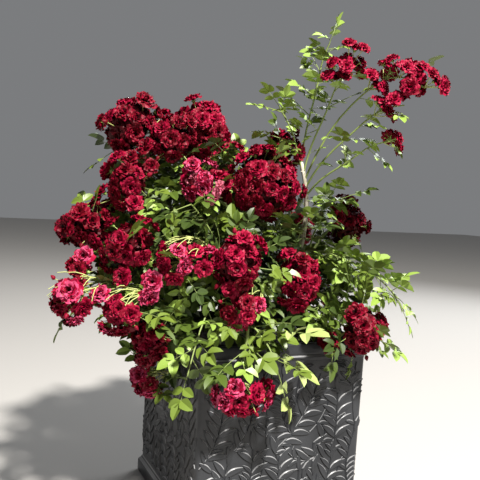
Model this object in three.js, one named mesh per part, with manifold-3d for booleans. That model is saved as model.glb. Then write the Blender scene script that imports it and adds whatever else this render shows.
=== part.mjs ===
// A red cluster rose in a square patio planter. Millimetres, Z up, origin in the middle of the
// planter's underside, X along its front face and Y away from the viewer.
import * as THREE from "three";
import { mergeVertices } from "three/addons/utils/BufferGeometryUtils.js";
import Module from "manifold-3d";

const wasm = await Module();
wasm.setup();

// Driving dimensions: the planter and what fills it
const PLANTER_WIDTH = 380;
const PLANTER_HEIGHT = 385;
const PLANTER_CORNER = 9;
const PLANTER_TAPER = 8;
const WALL = 5;
const FLOOR = 6;
const RIM_HEIGHT = 26;
const RIM_STEP = 4;
const BEAD_HEIGHT = 5;
const FOOT_HEIGHT = 40;
const FOOT_STEP = 9;
const SOIL_DEPTH_BELOW_RIM = 38;
const RIDGE_HALF_WIDTH = 14;
const RIDGE_HEIGHT = 3.2;
const RIDGE_DEPTH = 0.8;
const CLEARANCE = 0.3;

// Driving dimensions: the plant
const STEM_RADIUS = 27;
const STEM_HEIGHT = 46;
const CANE_SIDES = 4;
const CANE_STEPS = 6;
const TWIG_SIDES = 3;
const STALK_STEPS = 4;
const SHOOT_STEPS = 6;
const STALK_RADIUS = 3.6;
const STALK_TIP_RADIUS = 2.4;
const TWIG_RADIUS = 1.3;
const TWIG_LENGTH = 46;
const TWIG_EVERY = 5;
const KNUCKLE_RADIUS = 6;
const HEART_INSET = 10;
const BLOOM_RADIUS = 21;
const BLOOM_SIDES = 5;
const CROWDING = 1;
const LEAF_LENGTH = 64;
const LEAF_WIDTH = 36;
const LEAF_THICKNESS = 3;
const LEAF_ROOT = 1;
const SIDE_LEAF_LEAN = 1.3;
const SIDE_LEAF_PLACE = 0.6;
const SIDE_LEAF_STAGGER = 0.12;
const SIDE_LEAF_SHARE = 0.8;
const TRIES = 8;
const SPACE_BETWEEN = 0.8;
const OWN_OVERLAP = 0.5;

const GOLDEN_TURN = Math.PI * (3 - Math.sqrt(5));
const UP = new THREE.Vector3(0, 0, 1);
const HEART = new THREE.Vector3(-70, -10, 480);
const SOIL_TOP = PLANTER_HEIGHT - SOIL_DEPTH_BELOW_RIM;
const STEM_FOOT = SOIL_TOP + CLEARANCE;

// The branches in relief on each of the planter's panels: foot, turn and tip, across and up it
const BRANCHES = [
  [[-172, 60], [-130, 90], [-118, 150]],
  [[-176, 150], [-130, 200], [-132, 280]],
  [[-100, 50], [-60, 90], [-66, 176]],
  [[-120, 165], [-70, 200], [-62, 300]],
  [[-30, 50], [10, 100], [-14, 160]],
  [[20, 198], [-14, 225], [-10, 320]],
  [[-15, 172], [52, 222], [76, 320]],
  [[83, 150], [40, 120], [2, 176]],
  [[60, 50], [110, 60], [116, 136]],
  [[115, 140], [126, 200], [120, 275]],
  [[170, 50], [140, 110], [168, 190]],
  [[168, 205], [150, 270], [160, 340]],
];

const COLOURS = {
  planter: { color: 0x2c2e31, roughness: 0.55, metalness: 0 },
  soil: { color: 0x2a1c13, roughness: 1, metalness: 0 },
  wood: { color: 0x8a7a55, roughness: 0.8, metalness: 0 },
  flowers: { color: 0x8f0f22, roughness: 0.7, metalness: 0 },
  leaves: { color: 0x4c7a2a, roughness: 0.6, metalness: 0 },
};

// A cane or bough: what it rises from and where along that, its tip, how much of the way out
// and of the way up its curve has gone where it turns towards the tip, and its foot's radius
const cane = (name, from, at, tip, out, up, thick) => ({ name, from, at, tip, out, up, thick });
const CANES = [
  cane("cane_left_tall", "stem", 0, [-250, -50, 705], 0.3, 0.75, 6),
  cane("cane_left", "cane_left_tall", 0.2, [-290, -90, 575], 0.45, 0.8, 5),
  cane("cane_front", "stem", 0, [-140, -150, 520], 0.2, 0.8, 5.5),
  cane("cane_old", "stem", 0, [66, -72, 752], 1.75, 0.55, 7.5),
  cane("cane_right", "stem", 0, [128, -40, 560], 0.3, 0.9, 5.5),
  cane("cane_back", "stem", 0, [10, 120, 655], 0.35, 0.75, 6),
  cane("cane_back_left", "stem", 0, [-185, 110, 620], 0.35, 0.8, 6),
  cane("bough_middle_tall", "cane_left_tall", 0.45, [-160, -60, 715], 0.3, 0.6, 4.5),
  cane("bough_left_low", "cane_left", 0.4, [-280, -125, 490], 0.4, 0.95, 4.5),
  cane("bough_front_low", "cane_front", 0.3, [-105, -212, 424], 0.5, 1.9, 4.5),
  cane("bough_centre", "cane_old", 0.35, [-30, -85, 625], 0.4, 0.6, 5),
  cane("bough_right_low", "cane_right", 0.3, [140, -150, 440], 0.4, 1.2, 4.5),
  cane("bough_back_right", "cane_back", 0.4, [125, 125, 545], 0.4, 0.9, 4.5),
  cane("bough_back_low", "cane_back_left", 0.35, [-110, 190, 450], 0.5, 1.2, 4.5),
];
const CANE_TIP_SHARE = 0.55;

// A truss of bloom: the cane it grows from and where along that, its middle, its half width and
// half height, its blooms and leaves, and how far it looks up, or hangs where that is negative
const truss = (name, on, at, middle, [wide, tall], blooms, leaves, rise) => {
  return { name, on, at, middle, wide, tall, blooms, leaves, rise };
};
const TRUSSES = [
  truss("truss_top_left", "cane_left_tall", 1, [-312, -60, 790], [55, 64], 10, 5, 0.9),
  truss("truss_top_middle", "bough_middle_tall", 0.82, [-243, -114, 775], [49, 52], 8, 5, 0.9),
  truss("truss_top_right", "bough_middle_tall", 1, [-156, -55, 800], [58, 60], 9, 5, 1.4),
  truss("truss_upper_left", "cane_left_tall", 0.8, [-316, -110, 688], [44, 44], 6, 5, 0.5),
  truss("truss_left", "cane_left", 1, [-386, -90, 600], [44, 46], 6, 5, 0.2),
  truss("truss_middle_left", "cane_left", 0.84, [-322, -160, 572], [48, 52], 7, 5, 0.2),
  truss("truss_middle", "cane_front", 0.9, [-250, -195, 548], [42, 40], 5, 6, 0.1),
  truss("truss_far_left", "bough_left_low", 1, [-415, -140, 476], [46, 56], 7, 5, -0.4),
  truss("truss_lower_left", "bough_left_low", 0.86, [-340, -176, 460], [40, 46], 6, 5, -0.3),
  truss("truss_low_left", "bough_left_low", 0.7, [-272, -145, 395], [38, 50], 6, 5, -0.4),
  truss("truss_bottom_left", "bough_left_low", 0.55, [-241, -62, 296], [36, 38], 4, 5, -1.2),
  truss("truss_centre", "bough_centre", 1, [-48, -125, 698], [70, 84], 13, 5, 0.3),
  truss("truss_faded", "bough_centre", 0.85, [-192, -150, 692], [32, 32], 4, 7, 0.4),
  truss("truss_front", "cane_front", 1, [-143, -225, 552], [54, 56], 8, 5, 0.2),
  truss("truss_front_low", "cane_front", 0.75, [-129, -222, 464], [46, 42], 6, 5, -0.2),
  truss("truss_right_centre", "cane_right", 0.7, [24, -160, 510], [54, 52], 8, 6, 0.2),
  truss("truss_right_low", "bough_right_low", 1, [138, -233, 415], [54, 52], 8, 5, -0.1),
  truss("truss_right", "cane_right", 1, [192, -62, 628], [44, 80], 9, 6, 0.5),
  truss("truss_upper_right", "cane_old", 0.99, [37, -38, 784], [38, 34], 4, 6, 0.8),
  truss("truss_back_top", "bough_middle_tall", 0.7, [-140, 50, 775], [52, 50], 6, 5, 1.2),
  truss("truss_back_left_high", "cane_back_left", 1, [-255, 110, 700], [52, 52], 6, 5, 0.6),
  truss("truss_back_left", "cane_back_left", 0.85, [-305, 60, 590], [48, 50], 5, 5, 0.2),
  truss("truss_back_left_low", "bough_back_low", 0.8, [-255, 150, 480], [46, 46], 5, 5, -0.1),
  truss("truss_back_low", "bough_back_low", 1, [-110, 262, 470], [48, 46], 5, 5, -0.1),
  truss("truss_back_high", "cane_back", 1, [-35, 165, 735], [54, 52], 6, 5, 0.8),
  truss("truss_back", "cane_back", 0.8, [-95, 200, 605], [52, 52], 6, 5, 0.3),
  truss("truss_back_right", "bough_back_right", 1, [185, 150, 600], [50, 50], 6, 5, 0.4),
  truss("truss_back_right_low", "bough_back_right", 0.8, [110, 230, 480], [48, 46], 5, 5, 0),
  truss("truss_side_right_low", "cane_right", 0.8, [215, 35, 480], [42, 46], 5, 5, 0),
];

// Open trusses, whose pedicels show because they hang with their backs to the viewer
const OPEN_TRUSSES = [
  truss("truss_front_hanging", "bough_front_low", 1, [-121, -243, 310], [48, 46], 8, 5, -2.5),
];

// A shoot: the cane it grows from and where along that, its own tip, how far its middle arches
// up, the part of it that flowers and how far its pedicels spread, its blooms and its leaves
const shoot = (name, on, at, tip, arch, [flowering, spread], blooms, leaves) => {
  return { name, on, at, tip, arch, flowering, spread, blooms, leaves };
};
const SHOOTS = [
  shoot("shoot_top_bloom", "cane_old", 0.93, [106, -172, 940], 0, [0.35, 62], 7, 4),
  shoot("shoot_arc", "cane_old", 0.89, [208, -286, 900], 135, [0.6, 46], 9, 2),
  shoot("shoot_side", "cane_old", 0.85, [184, -256, 868], 30, [0.35, 56], 6, 3),
  shoot("shoot_side_low", "cane_old", 0.8, [182, -236, 800], 10, [0.3, 44], 3, 4),
  shoot("shoot_top", "cane_old", 1, [94, -112, 1002], 0, [0, 0], 0, 12),
  shoot("shoot_top_left", "cane_old", 0.952, [-5, -88, 865], 0, [0, 0], 0, 8),
  shoot("shoot_right", "cane_right", 0.9, [200, -262, 486], 40, [0, 0], 0, 12),
  shoot("shoot_right_high", "cane_right", 0.95, [100, -150, 690], 0, [0, 0], 0, 10),
  shoot("shoot_low_left", "cane_front", 0.55, [-232, -240, 350], 110, [0, 0], 0, 15),
  shoot("shoot_low_front", "bough_front_low", 0.85, [-60, -254, 352], 25, [0, 0], 0, 8),
  shoot("shoot_middle", "cane_front", 0.8, [-215, -165, 652], 0, [0, 0], 0, 12),
  shoot("shoot_rim_right", "bough_right_low", 0.7, [74, -225, 436], 25, [0, 0], 0, 8),
];

// Solids and geometries
function weld(geometry) {
  const bare = geometry.clone();
  bare.deleteAttribute("normal");
  bare.deleteAttribute("uv");
  return mergeVertices(bare, 1e-4);
}

function toSolid(geometry) {
  const welded = weld(geometry);
  return new wasm.Manifold(
    new wasm.Mesh({
      numProp: 3,
      vertProperties: new Float32Array(welded.attributes.position.array),
      triVerts: new Uint32Array(welded.index.array),
    }),
  );
}

function toGeometry(solid) {
  const mesh = solid.getMesh();
  const geometry = new THREE.BufferGeometry();
  const places = new Float32Array(mesh.vertProperties);
  geometry.setAttribute("position", new THREE.BufferAttribute(places, 3));
  geometry.setIndex(new THREE.BufferAttribute(new Uint32Array(mesh.triVerts), 1));
  geometry.computeVertexNormals();
  return geometry;
}

// The largest of a solid's bodies: loose scraps and sealed hollows are left behind.
function mainBody(solid) {
  const bodies = solid.decompose();
  return bodies.reduce((best, body) => (body.volume() > best.volume() ? body : best));
}

function joined(geometries) {
  let solids = geometries.map(toSolid);
  while (solids.length > 1) {
    const pairs = [];
    for (let i = 0; i < solids.length; i += 2) {
      pairs.push(i + 1 < solids.length ? solids[i].add(solids[i + 1]) : solids[i]);
    }
    solids = pairs;
  }
  return solids[0];
}

function vector(list) {
  return new THREE.Vector3(...list);
}

// A matrix that lays local Y along a direction, starting from a point.
function frameAlong(point, direction, hint = UP) {
  const y = direction.clone().normalize();
  const reference = Math.abs(y.dot(hint)) > 0.95 ? new THREE.Vector3(1, 0, 0) : hint;
  const x = new THREE.Vector3().crossVectors(y, reference).normalize();
  const z = new THREE.Vector3().crossVectors(x, y);
  return new THREE.Matrix4().makeBasis(x, y, z).setPosition(point);
}

// A tapering limb along a curve: a closed cylinder bent to follow it, thinner at the tip.
function limbGeometry(limb, footRadius, tipRadius, sides) {
  const steps = limb.points.length - 1;
  const geometry = weld(new THREE.CylinderGeometry(1, 1, 1, sides, steps));
  const frames = limb.curve.computeFrenetFrames(steps, false);
  const place = geometry.attributes.position;
  for (let i = 0; i < place.count; i += 1) {
    const step = Math.round((place.getY(i) + 0.5) * steps);
    const radius = THREE.MathUtils.lerp(footRadius, tipRadius, step / steps);
    const point = limb.points[step]
      .clone()
      .addScaledVector(frames.normals[step], place.getZ(i) * radius)
      .addScaledVector(frames.binormals[step], place.getX(i) * radius);
    place.setXYZ(i, point.x, point.y, point.z);
  }
  return geometry;
}

// A limb is a curve and the points on it that its straight stretches run between.
function limbBetween(foot, turn, tip, steps) {
  const curve = new THREE.QuadraticBezierCurve3(foot, turn, tip);
  return { curve, points: curve.getPoints(steps) };
}

function stretchAt(limb, share) {
  const last = limb.points.length - 2;
  const place = share * (last + 1);
  const index = Math.min(Math.floor(place), last);
  return { from: limb.points[index], to: limb.points[index + 1], part: place - index };
}

function pointOn(limb, share) {
  const stretch = stretchAt(limb, share);
  return stretch.from.clone().lerp(stretch.to, stretch.part);
}

function headingOn(limb, share) {
  const stretch = stretchAt(limb, share);
  return stretch.to.clone().sub(stretch.from).normalize();
}

// The planter: mouldings on a square plan with rounded corners, hollow and open at the top
function squareRing(width, z) {
  const corner = Math.min(PLANTER_CORNER, width / 4);
  const points = [];
  for (let quarter = 0; quarter < 4; quarter += 1) {
    const sx = quarter === 0 || quarter === 3 ? 1 : -1;
    const sy = quarter < 2 ? 1 : -1;
    for (let step = 0; step <= 2; step += 1) {
      const angle = (quarter + step / 2) * (Math.PI / 2);
      const x = sx * (width / 2 - corner) + corner * Math.cos(angle);
      const y = sy * (width / 2 - corner) + corner * Math.sin(angle);
      points.push(new THREE.Vector3(x, y, z));
    }
  }
  return points;
}

function loftGeometry(rings) {
  const count = rings[0].length;
  const points = rings.flat();
  const faces = [];
  for (let ring = 0; ring < rings.length - 1; ring += 1) {
    for (let i = 0; i < count; i += 1) {
      const next = (i + 1) % count;
      const low = ring * count;
      const high = low + count;
      faces.push(low + i, low + next, high + next, low + i, high + next, high + i);
    }
  }
  const last = (rings.length - 1) * count;
  for (let i = 1; i < count - 1; i += 1) {
    faces.push(0, i + 1, i);
    faces.push(last, last + i, last + i + 1);
  }
  return new THREE.BufferGeometry().setFromPoints(points).setIndex(faces);
}

function panelWidth(z) {
  return PLANTER_WIDTH - 2 * RIM_STEP - PLANTER_TAPER * (1 - z / PLANTER_HEIGHT);
}

function planterGeometry() {
  const rimFoot = PLANTER_HEIGHT - RIM_HEIGHT;
  const beadFoot = rimFoot - BEAD_HEIGHT;
  const insideTop = PLANTER_WIDTH - 2 * RIM_STEP - 2 * WALL;
  const footWidth = panelWidth(0) + 2 * FOOT_STEP;
  return loftGeometry([
    squareRing(footWidth - 6, 0),
    squareRing(footWidth, 4),
    squareRing(footWidth, FOOT_HEIGHT - 12),
    squareRing(footWidth - 6, FOOT_HEIGHT - 4),
    squareRing(panelWidth(FOOT_HEIGHT), FOOT_HEIGHT),
    squareRing(panelWidth(beadFoot), beadFoot - 2),
    squareRing(PLANTER_WIDTH, beadFoot),
    squareRing(PLANTER_WIDTH, rimFoot),
    squareRing(PLANTER_WIDTH - 3, rimFoot + 2),
    squareRing(PLANTER_WIDTH - 3, PLANTER_HEIGHT - 2),
    squareRing(PLANTER_WIDTH - 7, PLANTER_HEIGHT),
    squareRing(insideTop, PLANTER_HEIGHT),
    squareRing(insideTop - PLANTER_TAPER, FLOOR),
  ]);
}

// One branch as a low ridge along its curve: widest at its middle, and rooted in the wall
function ridgeGeometry(branch, face) {
  const mirror = face % 2 === 0 ? 1 : -1;
  const [foot, turn, tip] = branch.map(([x, z]) => new THREE.Vector2(x * mirror, z));
  const curve = new THREE.QuadraticBezierCurve(foot, turn, tip);
  const middle = curve.getPoint(0.5);
  const heading = curve.getTangent(0.5);
  const side = new THREE.Vector2(heading.y, -heading.x).multiplyScalar(RIDGE_HALF_WIDTH);
  const onPanel = (place, height) => {
    return new THREE.Vector3(place.x, -panelWidth(place.y) / 2 - height, place.y);
  };
  const points = [
    onPanel(foot, -RIDGE_DEPTH),
    onPanel(middle.clone().sub(side), -RIDGE_DEPTH),
    onPanel(middle, RIDGE_HEIGHT),
    onPanel(middle.clone().add(side), -RIDGE_DEPTH),
    onPanel(tip, -RIDGE_DEPTH),
  ];
  const faces = [0, 2, 1, 0, 3, 2, 0, 1, 3, 4, 1, 2, 4, 2, 3, 4, 3, 1];
  const geometry = new THREE.BufferGeometry().setFromPoints(points).setIndex(faces);
  return geometry.rotateZ((face * Math.PI) / 2);
}

function planterSolid() {
  const ridges = [0, 1, 2, 3].flatMap((face) => BRANCHES.map((branch) => ridgeGeometry(branch, face)));
  return joined([planterGeometry(), ...ridges]);
}

function soilGeometry() {
  const insideTop = PLANTER_WIDTH - 2 * RIM_STEP - 2 * WALL - 2 * CLEARANCE;
  const share = SOIL_DEPTH_BELOW_RIM / (PLANTER_HEIGHT - FLOOR);
  return loftGeometry([
    squareRing(insideTop - PLANTER_TAPER, FLOOR + CLEARANCE),
    squareRing(insideTop - PLANTER_TAPER * share, SOIL_TOP),
  ]);
}

// The short woody stem that the canes rise from
function stemGeometry(clearance = 0) {
  const profile = [
    new THREE.Vector2(0, STEM_FOOT - clearance),
    new THREE.Vector2(STEM_RADIUS + clearance, STEM_FOOT - clearance),
    new THREE.Vector2(STEM_RADIUS * 0.86 + clearance, STEM_FOOT + STEM_HEIGHT * 0.55),
    new THREE.Vector2(STEM_RADIUS * 0.5 + clearance, STEM_FOOT + STEM_HEIGHT * 0.92 + clearance),
    new THREE.Vector2(0, STEM_FOOT + STEM_HEIGHT + clearance),
  ];
  return new THREE.LatheGeometry(profile, 12).rotateX(Math.PI / 2);
}

// Canes and boughs
const canes = new Map();

function caneStart(row) {
  if (row.from !== "stem") {
    return pointOn(canes.get(row.from).limb, row.at);
  }
  const out = vector(row.tip).setZ(0).normalize();
  return out.multiplyScalar(STEM_RADIUS * 0.6).setZ(STEM_FOOT + STEM_HEIGHT * 0.4);
}

function growCane(row) {
  const foot = caneStart(row);
  const tip = vector(row.tip);
  const turn = new THREE.Vector3(
    THREE.MathUtils.lerp(foot.x, tip.x, row.out),
    THREE.MathUtils.lerp(foot.y, tip.y, row.out),
    THREE.MathUtils.lerp(foot.z, tip.z, row.up),
  );
  canes.set(row.name, { ...row, limb: limbBetween(foot, turn, tip, CANE_STEPS) });
}

// A cane's solid, made larger all round and at its tip where it is to cut a seat in another.
function caneSolid({ limb, thick }, clearance = 0) {
  const points = limb.points.map((point) => point.clone());
  points[CANE_STEPS].addScaledVector(headingOn(limb, 1), clearance);
  const foot = thick + clearance;
  const tip = thick * CANE_TIP_SHARE + clearance;
  return toSolid(limbGeometry({ curve: limb.curve, points }, foot, tip, CANE_SIDES));
}

// Cuts a limb or mass clear of what it grows from, by the usual clearance.
function cutClear(solid, parent) {
  if (parent === "stem") {
    return mainBody(solid.subtract(toSolid(stemGeometry(CLEARANCE))));
  }
  return mainBody(solid.subtract(caneSolid(canes.get(parent), CLEARANCE)));
}

// Room: everything that has grown, as lines with a radius, so that nothing else grows into it
const room = [];

function lineGap(a, b) {
  const alongA = a.to.clone().sub(a.from);
  const alongB = b.to.clone().sub(b.from);
  const between = a.from.clone().sub(b.from);
  const lengthA = alongA.lengthSq();
  const lengthB = alongB.lengthSq();
  const cross = alongA.dot(alongB);
  const startA = alongA.dot(between);
  const startB = alongB.dot(between);
  const spread = lengthA * lengthB - cross * cross;
  let shareA = spread > 1e-6 ? (cross * startB - startA * lengthB) / spread : 0;
  shareA = THREE.MathUtils.clamp(shareA, 0, 1);
  const shareB = THREE.MathUtils.clamp((cross * shareA + startB) / lengthB, 0, 1);
  shareA = THREE.MathUtils.clamp((cross * shareB - startA) / lengthA, 0, 1);
  const pointA = a.from.clone().addScaledVector(alongA, shareA);
  const pointB = b.from.clone().addScaledVector(alongB, shareB);
  return pointA.distanceTo(pointB) - a.radius - b.radius;
}

function hitsPlanter(line) {
  return [0, 0.25, 0.5, 0.75, 1].some((share) => {
    const point = line.from.clone().lerp(line.to, share);
    const half = PLANTER_WIDTH / 2 + 1 + line.radius;
    const inPlan = Math.abs(point.x) < half && Math.abs(point.y) < half;
    return inPlan && point.z < PLANTER_HEIGHT + line.radius;
  });
}

// Masses stay apart. Within one mass only blades and blooms do, by part of their width.
function leastGap(line, other, owner) {
  if (other.owner !== owner) {
    return SPACE_BETWEEN;
  }
  const bothBroad = line.broad && other.broad;
  return bothBroad ? -OWN_OVERLAP * Math.min(line.radius, other.radius) : -Infinity;
}

function isFree(line, owner) {
  return !hitsPlanter(line) && room.every((other) => lineGap(line, other) > leastGap(line, other, owner));
}

function claim(line, owner) {
  room.push({ ...line, owner });
}

function claimLimb(limb, radius, owner) {
  for (let i = 1; i < limb.points.length; i += 1) {
    claim({ from: limb.points[i - 1], to: limb.points[i], radius }, owner);
  }
}

// A repeatable stream of numbers from 0 to 1
function randomFrom(seed) {
  let state = seed >>> 0;
  return () => {
    state = (Math.imul(state, 1664525) + 1013904223) >>> 0;
    return state / 4294967296;
  };
}

// The direction that leans away from an axis by one angle and turns round it by another.
function leaning(axis, lean, turn) {
  const reference = Math.abs(axis.z) > 0.9 ? new THREE.Vector3(1, 0, 0) : UP;
  const side = new THREE.Vector3().crossVectors(axis, reference).normalize();
  const other = new THREE.Vector3().crossVectors(axis, side);
  return axis
    .clone()
    .multiplyScalar(Math.cos(lean))
    .addScaledVector(side, Math.sin(lean) * Math.cos(turn))
    .addScaledVector(other, Math.sin(lean) * Math.sin(turn));
}

// Twigs, leaves and blooms
function twigGeometry(twig) {
  const along = twig.to.clone().sub(twig.from);
  const geometry = new THREE.CylinderGeometry(twig.radius * 0.7, twig.radius, along.length(), TWIG_SIDES);
  geometry.translate(0, along.length() / 2, 0);
  return geometry.applyMatrix4(frameAlong(twig.from, along));
}

function leafGeometry(leaf) {
  const along = leaf.tip.clone().sub(leaf.root);
  const geometry = new THREE.OctahedronGeometry(1);
  geometry.scale(LEAF_WIDTH / 2, along.length() / 2, LEAF_THICKNESS / 2);
  geometry.translate(0, along.length() / 2, 0);
  return geometry.applyMatrix4(frameAlong(leaf.root, along, leaf.upper));
}

function bloomGeometry(bloom) {
  const profile = [
    new THREE.Vector2(0, -1),
    new THREE.Vector2(1, 0.05),
    new THREE.Vector2(0.6, 0.5),
    new THREE.Vector2(0, 0.4),
  ];
  const geometry = new THREE.LatheGeometry(profile, BLOOM_SIDES, bloom.turn);
  geometry.scale(bloom.radius, bloom.radius, bloom.radius);
  return geometry.applyMatrix4(frameAlong(bloom.middle, bloom.axis));
}

// How far a mass reaches from its middle in one direction
function reach(mass, direction) {
  const across = Math.hypot(direction.x, direction.y) / mass.wide;
  const upward = direction.z / mass.tall;
  return 1 / Math.hypot(across, upward);
}

// Where a truss looks: away from the heart of the bush, and up or down by its rise
function outlook(mass) {
  const out = vector(mass.middle).sub(HEART).setZ(0).normalize();
  return out.setZ(mass.rise).normalize();
}

// The way a leaf faces: up, and a little away from the heart of the bush
function upperSide(point) {
  return point.clone().sub(HEART).normalize().multiplyScalar(0.6).add(UP).normalize();
}

function tryLeaf(pieces, owner, root, direction, length, upper) {
  const tip = root.clone().addScaledVector(direction, length);
  const start = root.clone().addScaledVector(direction, 0.3 * length);
  const line = { from: start, to: tip, radius: LEAF_WIDTH / 2, broad: true };
  if (!isFree(line, owner)) {
    return false;
  }
  claim(line, owner);
  pieces.leaves.push({ root: root.clone().addScaledVector(direction, -LEAF_ROOT), tip, upper });
  return true;
}

// A twig with a leaf at its tip and one to each side, or nothing where the tip leaf has no room
function tryLeafyTwig(pieces, owner, root, direction, length) {
  const tip = root.clone().addScaledVector(direction, length);
  const twig = { from: root, to: tip, radius: TWIG_RADIUS };
  const upper = upperSide(tip);
  if (!isFree(twig, owner) || !tryLeaf(pieces, owner, tip, direction, LEAF_LENGTH, upper)) {
    return false;
  }
  claim(twig, owner);
  pieces.twigs.push(twig);
  const side = new THREE.Vector3().crossVectors(direction, upper).normalize();
  [1, -1].forEach((hand) => {
    const outward = direction.clone().addScaledVector(side, SIDE_LEAF_LEAN * hand).normalize();
    const place = root.clone().lerp(tip, SIDE_LEAF_PLACE + SIDE_LEAF_STAGGER * hand);
    tryLeaf(pieces, owner, place, outward, LEAF_LENGTH * SIDE_LEAF_SHARE, upper);
  });
  return true;
}

// A round thing takes the room of a short thick line.
function roundRoom(middle, axis, radius) {
  return { from: middle.clone(), to: middle.clone().addScaledVector(axis, 1), radius, broad: true };
}

function tryBloom(pieces, owner, stalkPoint, bloom) {
  const { middle, axis, radius } = bloom;
  const line = roundRoom(middle, axis, radius * 0.97);
  const crowded = pieces.blooms.some((other) => {
    return other.middle.distanceTo(middle) < CROWDING * (other.radius + radius);
  });
  if (crowded || !isFree(line, owner)) {
    return false;
  }
  claim(line, owner);
  pieces.blooms.push(bloom);
  if (stalkPoint) {
    const pedicel = { from: stalkPoint, to: middle, radius: TWIG_RADIUS };
    claim(pedicel, owner);
    pieces.twigs.push(pedicel);
  }
  return true;
}

// Twigs and leaves in turn along the stalk of a mass, every few a twig; each may swing round
// the stalk to find a free place.
function foliageAlong(mass, pieces, random) {
  for (let i = 0; i < mass.leaves; i += 1) {
    const share = mass.bare + (1 - mass.bare) * ((i + 0.2 + 0.6 * random()) / mass.leaves);
    const root = pointOn(mass.stalk, share);
    const heading = headingOn(mass.stalk, share);
    const size = 0.85 + 0.3 * random();
    const twiggy = i % TWIG_EVERY === 1;
    for (let attempt = 0; attempt < TRIES; attempt += 1) {
      const turn = (i + attempt * 0.37) * GOLDEN_TURN + mass.seed;
      const direction = leaning(heading, 0.8 + 0.35 * random(), turn);
      const grown = twiggy
        ? tryLeafyTwig(pieces, mass.name, root, direction, TWIG_LENGTH * size)
        : tryLeaf(pieces, mass.name, root, direction, LEAF_LENGTH * size, upperSide(root));
      if (grown) {
        break;
      }
    }
  }
}

function heartRoom(mass) {
  const radius = mass.open ? KNUCKLE_RADIUS : Math.min(mass.wide, mass.tall) - HEART_INSET;
  return roundRoom(mass.open ? mass.hub : mass.centre, UP, radius);
}

// A truss: blooms spread over a dome round its middle, and leafy twigs along its stalk.
function growTruss(mass) {
  const random = randomFrom(mass.seed);
  const pieces = { twigs: [], leaves: [], blooms: [] };
  for (let i = 0; i < mass.blooms; i += 1) {
    const radius = BLOOM_RADIUS * (0.88 + 0.24 * random());
    for (let attempt = 0; attempt < TRIES; attempt += 1) {
      const lean = mass.fan * Math.sqrt((i + 0.3) / mass.blooms) * (0.92 + 0.16 * random());
      const axis = leaning(mass.look, lean, (i + attempt * 0.3) * GOLDEN_TURN + mass.seed);
      const middle = mass.centre.clone().addScaledVector(axis, reach(mass, axis) - radius * 0.5);
      const bloom = { middle, axis, radius, turn: random() * Math.PI };
      if (tryBloom(pieces, mass.name, mass.open ? mass.hub : null, bloom)) {
        break;
      }
    }
  }
  claim(heartRoom(mass), mass.name);
  foliageAlong(mass, pieces, random);
  return pieces;
}

// A shoot: blooms on side twigs over its outer half, and leafy twigs all along it.
function growShoot(mass) {
  const random = randomFrom(mass.seed);
  const pieces = { twigs: [], leaves: [], blooms: [] };
  for (let i = 0; i < mass.blooms; i += 1) {
    const share = 1 - mass.flowering * ((i + 0.2 * random()) / mass.blooms);
    const root = pointOn(mass.stalk, share);
    const heading = headingOn(mass.stalk, share);
    const radius = BLOOM_RADIUS * (0.75 + 0.2 * random());
    for (let attempt = 0; attempt < TRIES; attempt += 1) {
      const lean = i === 0 ? 0.1 : 0.6 + 0.6 * random();
      const turn = (i + attempt * 0.3) * GOLDEN_TURN + mass.seed;
      const axis = leaning(heading, lean, turn).add(UP).normalize();
      const middle = root.clone().addScaledVector(axis, mass.spread * (0.45 + 0.35 * random()));
      if (tryBloom(pieces, mass.name, root, { middle, axis, radius, turn: random() * Math.PI })) {
        break;
      }
    }
  }
  const tip = pointOn(mass.stalk, 1);
  if (mass.blooms === 0) {
    tryLeaf(pieces, mass.name, tip, headingOn(mass.stalk, 1), LEAF_LENGTH, upperSide(tip));
  }
  foliageAlong(mass, pieces, random);
  return pieces;
}

function prepareTruss(row, index) {
  const mass = { ...row, seed: index + 1, bare: 0.15, fan: 2.0 };
  mass.centre = vector(row.middle);
  mass.look = outlook(row);
  mass.hub = mass.centre.clone().addScaledVector(mass.look, -0.45 * reach(mass, mass.look));
  const foot = pointOn(canes.get(row.on).limb, row.at);
  const length = foot.distanceTo(mass.hub);
  const turn = mass.hub.clone().addScaledVector(mass.look, -0.4 * length);
  mass.stalk = limbBetween(foot, turn, mass.hub, STALK_STEPS);
  mass.grow = growTruss;
  return mass;
}

function prepareShoot(row, index) {
  const mass = { ...row, seed: 101 + index, bare: 0.2 };
  const foot = pointOn(canes.get(row.on).limb, row.at);
  const tip = vector(row.tip);
  const turn = foot.clone().lerp(tip, 0.5);
  turn.z = (Math.max(foot.z, tip.z) + turn.z) * 0.5 + row.arch;
  mass.stalk = limbBetween(foot, turn, tip, SHOOT_STEPS);
  mass.grow = growShoot;
  return mass;
}

// The swelling at the end of a stalk that its pedicels fan out from
function knuckleGeometry(mass) {
  const geometry = new THREE.OctahedronGeometry(KNUCKLE_RADIUS);
  return geometry.rotateX(0.4).rotateY(0.3).translate(mass.hub.x, mass.hub.y, mass.hub.z);
}

// The packed heart of a dense truss, which its blooms stand out of
function heartGeometry(mass) {
  const geometry = new THREE.IcosahedronGeometry(1).rotateZ(mass.seed);
  geometry.scale(mass.wide - HEART_INSET, mass.wide - HEART_INSET, mass.tall - HEART_INSET);
  return geometry.translate(mass.centre.x, mass.centre.y, mass.centre.z);
}

function nodeGeometries(mass) {
  if (!mass.hub) {
    return [];
  }
  return [mass.open ? knuckleGeometry(mass) : heartGeometry(mass)];
}

function massSolid(mass) {
  const pieces = mass.grow(mass);
  const stalk = limbGeometry(mass.stalk, STALK_RADIUS, STALK_TIP_RADIUS, TWIG_SIDES);
  const all = [
    stalk,
    ...nodeGeometries(mass),
    ...pieces.twigs.map(twigGeometry),
    ...pieces.leaves.map(leafGeometry),
    ...pieces.blooms.map(bloomGeometry),
  ];
  return cutClear(joined(all), mass.on);
}

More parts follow.
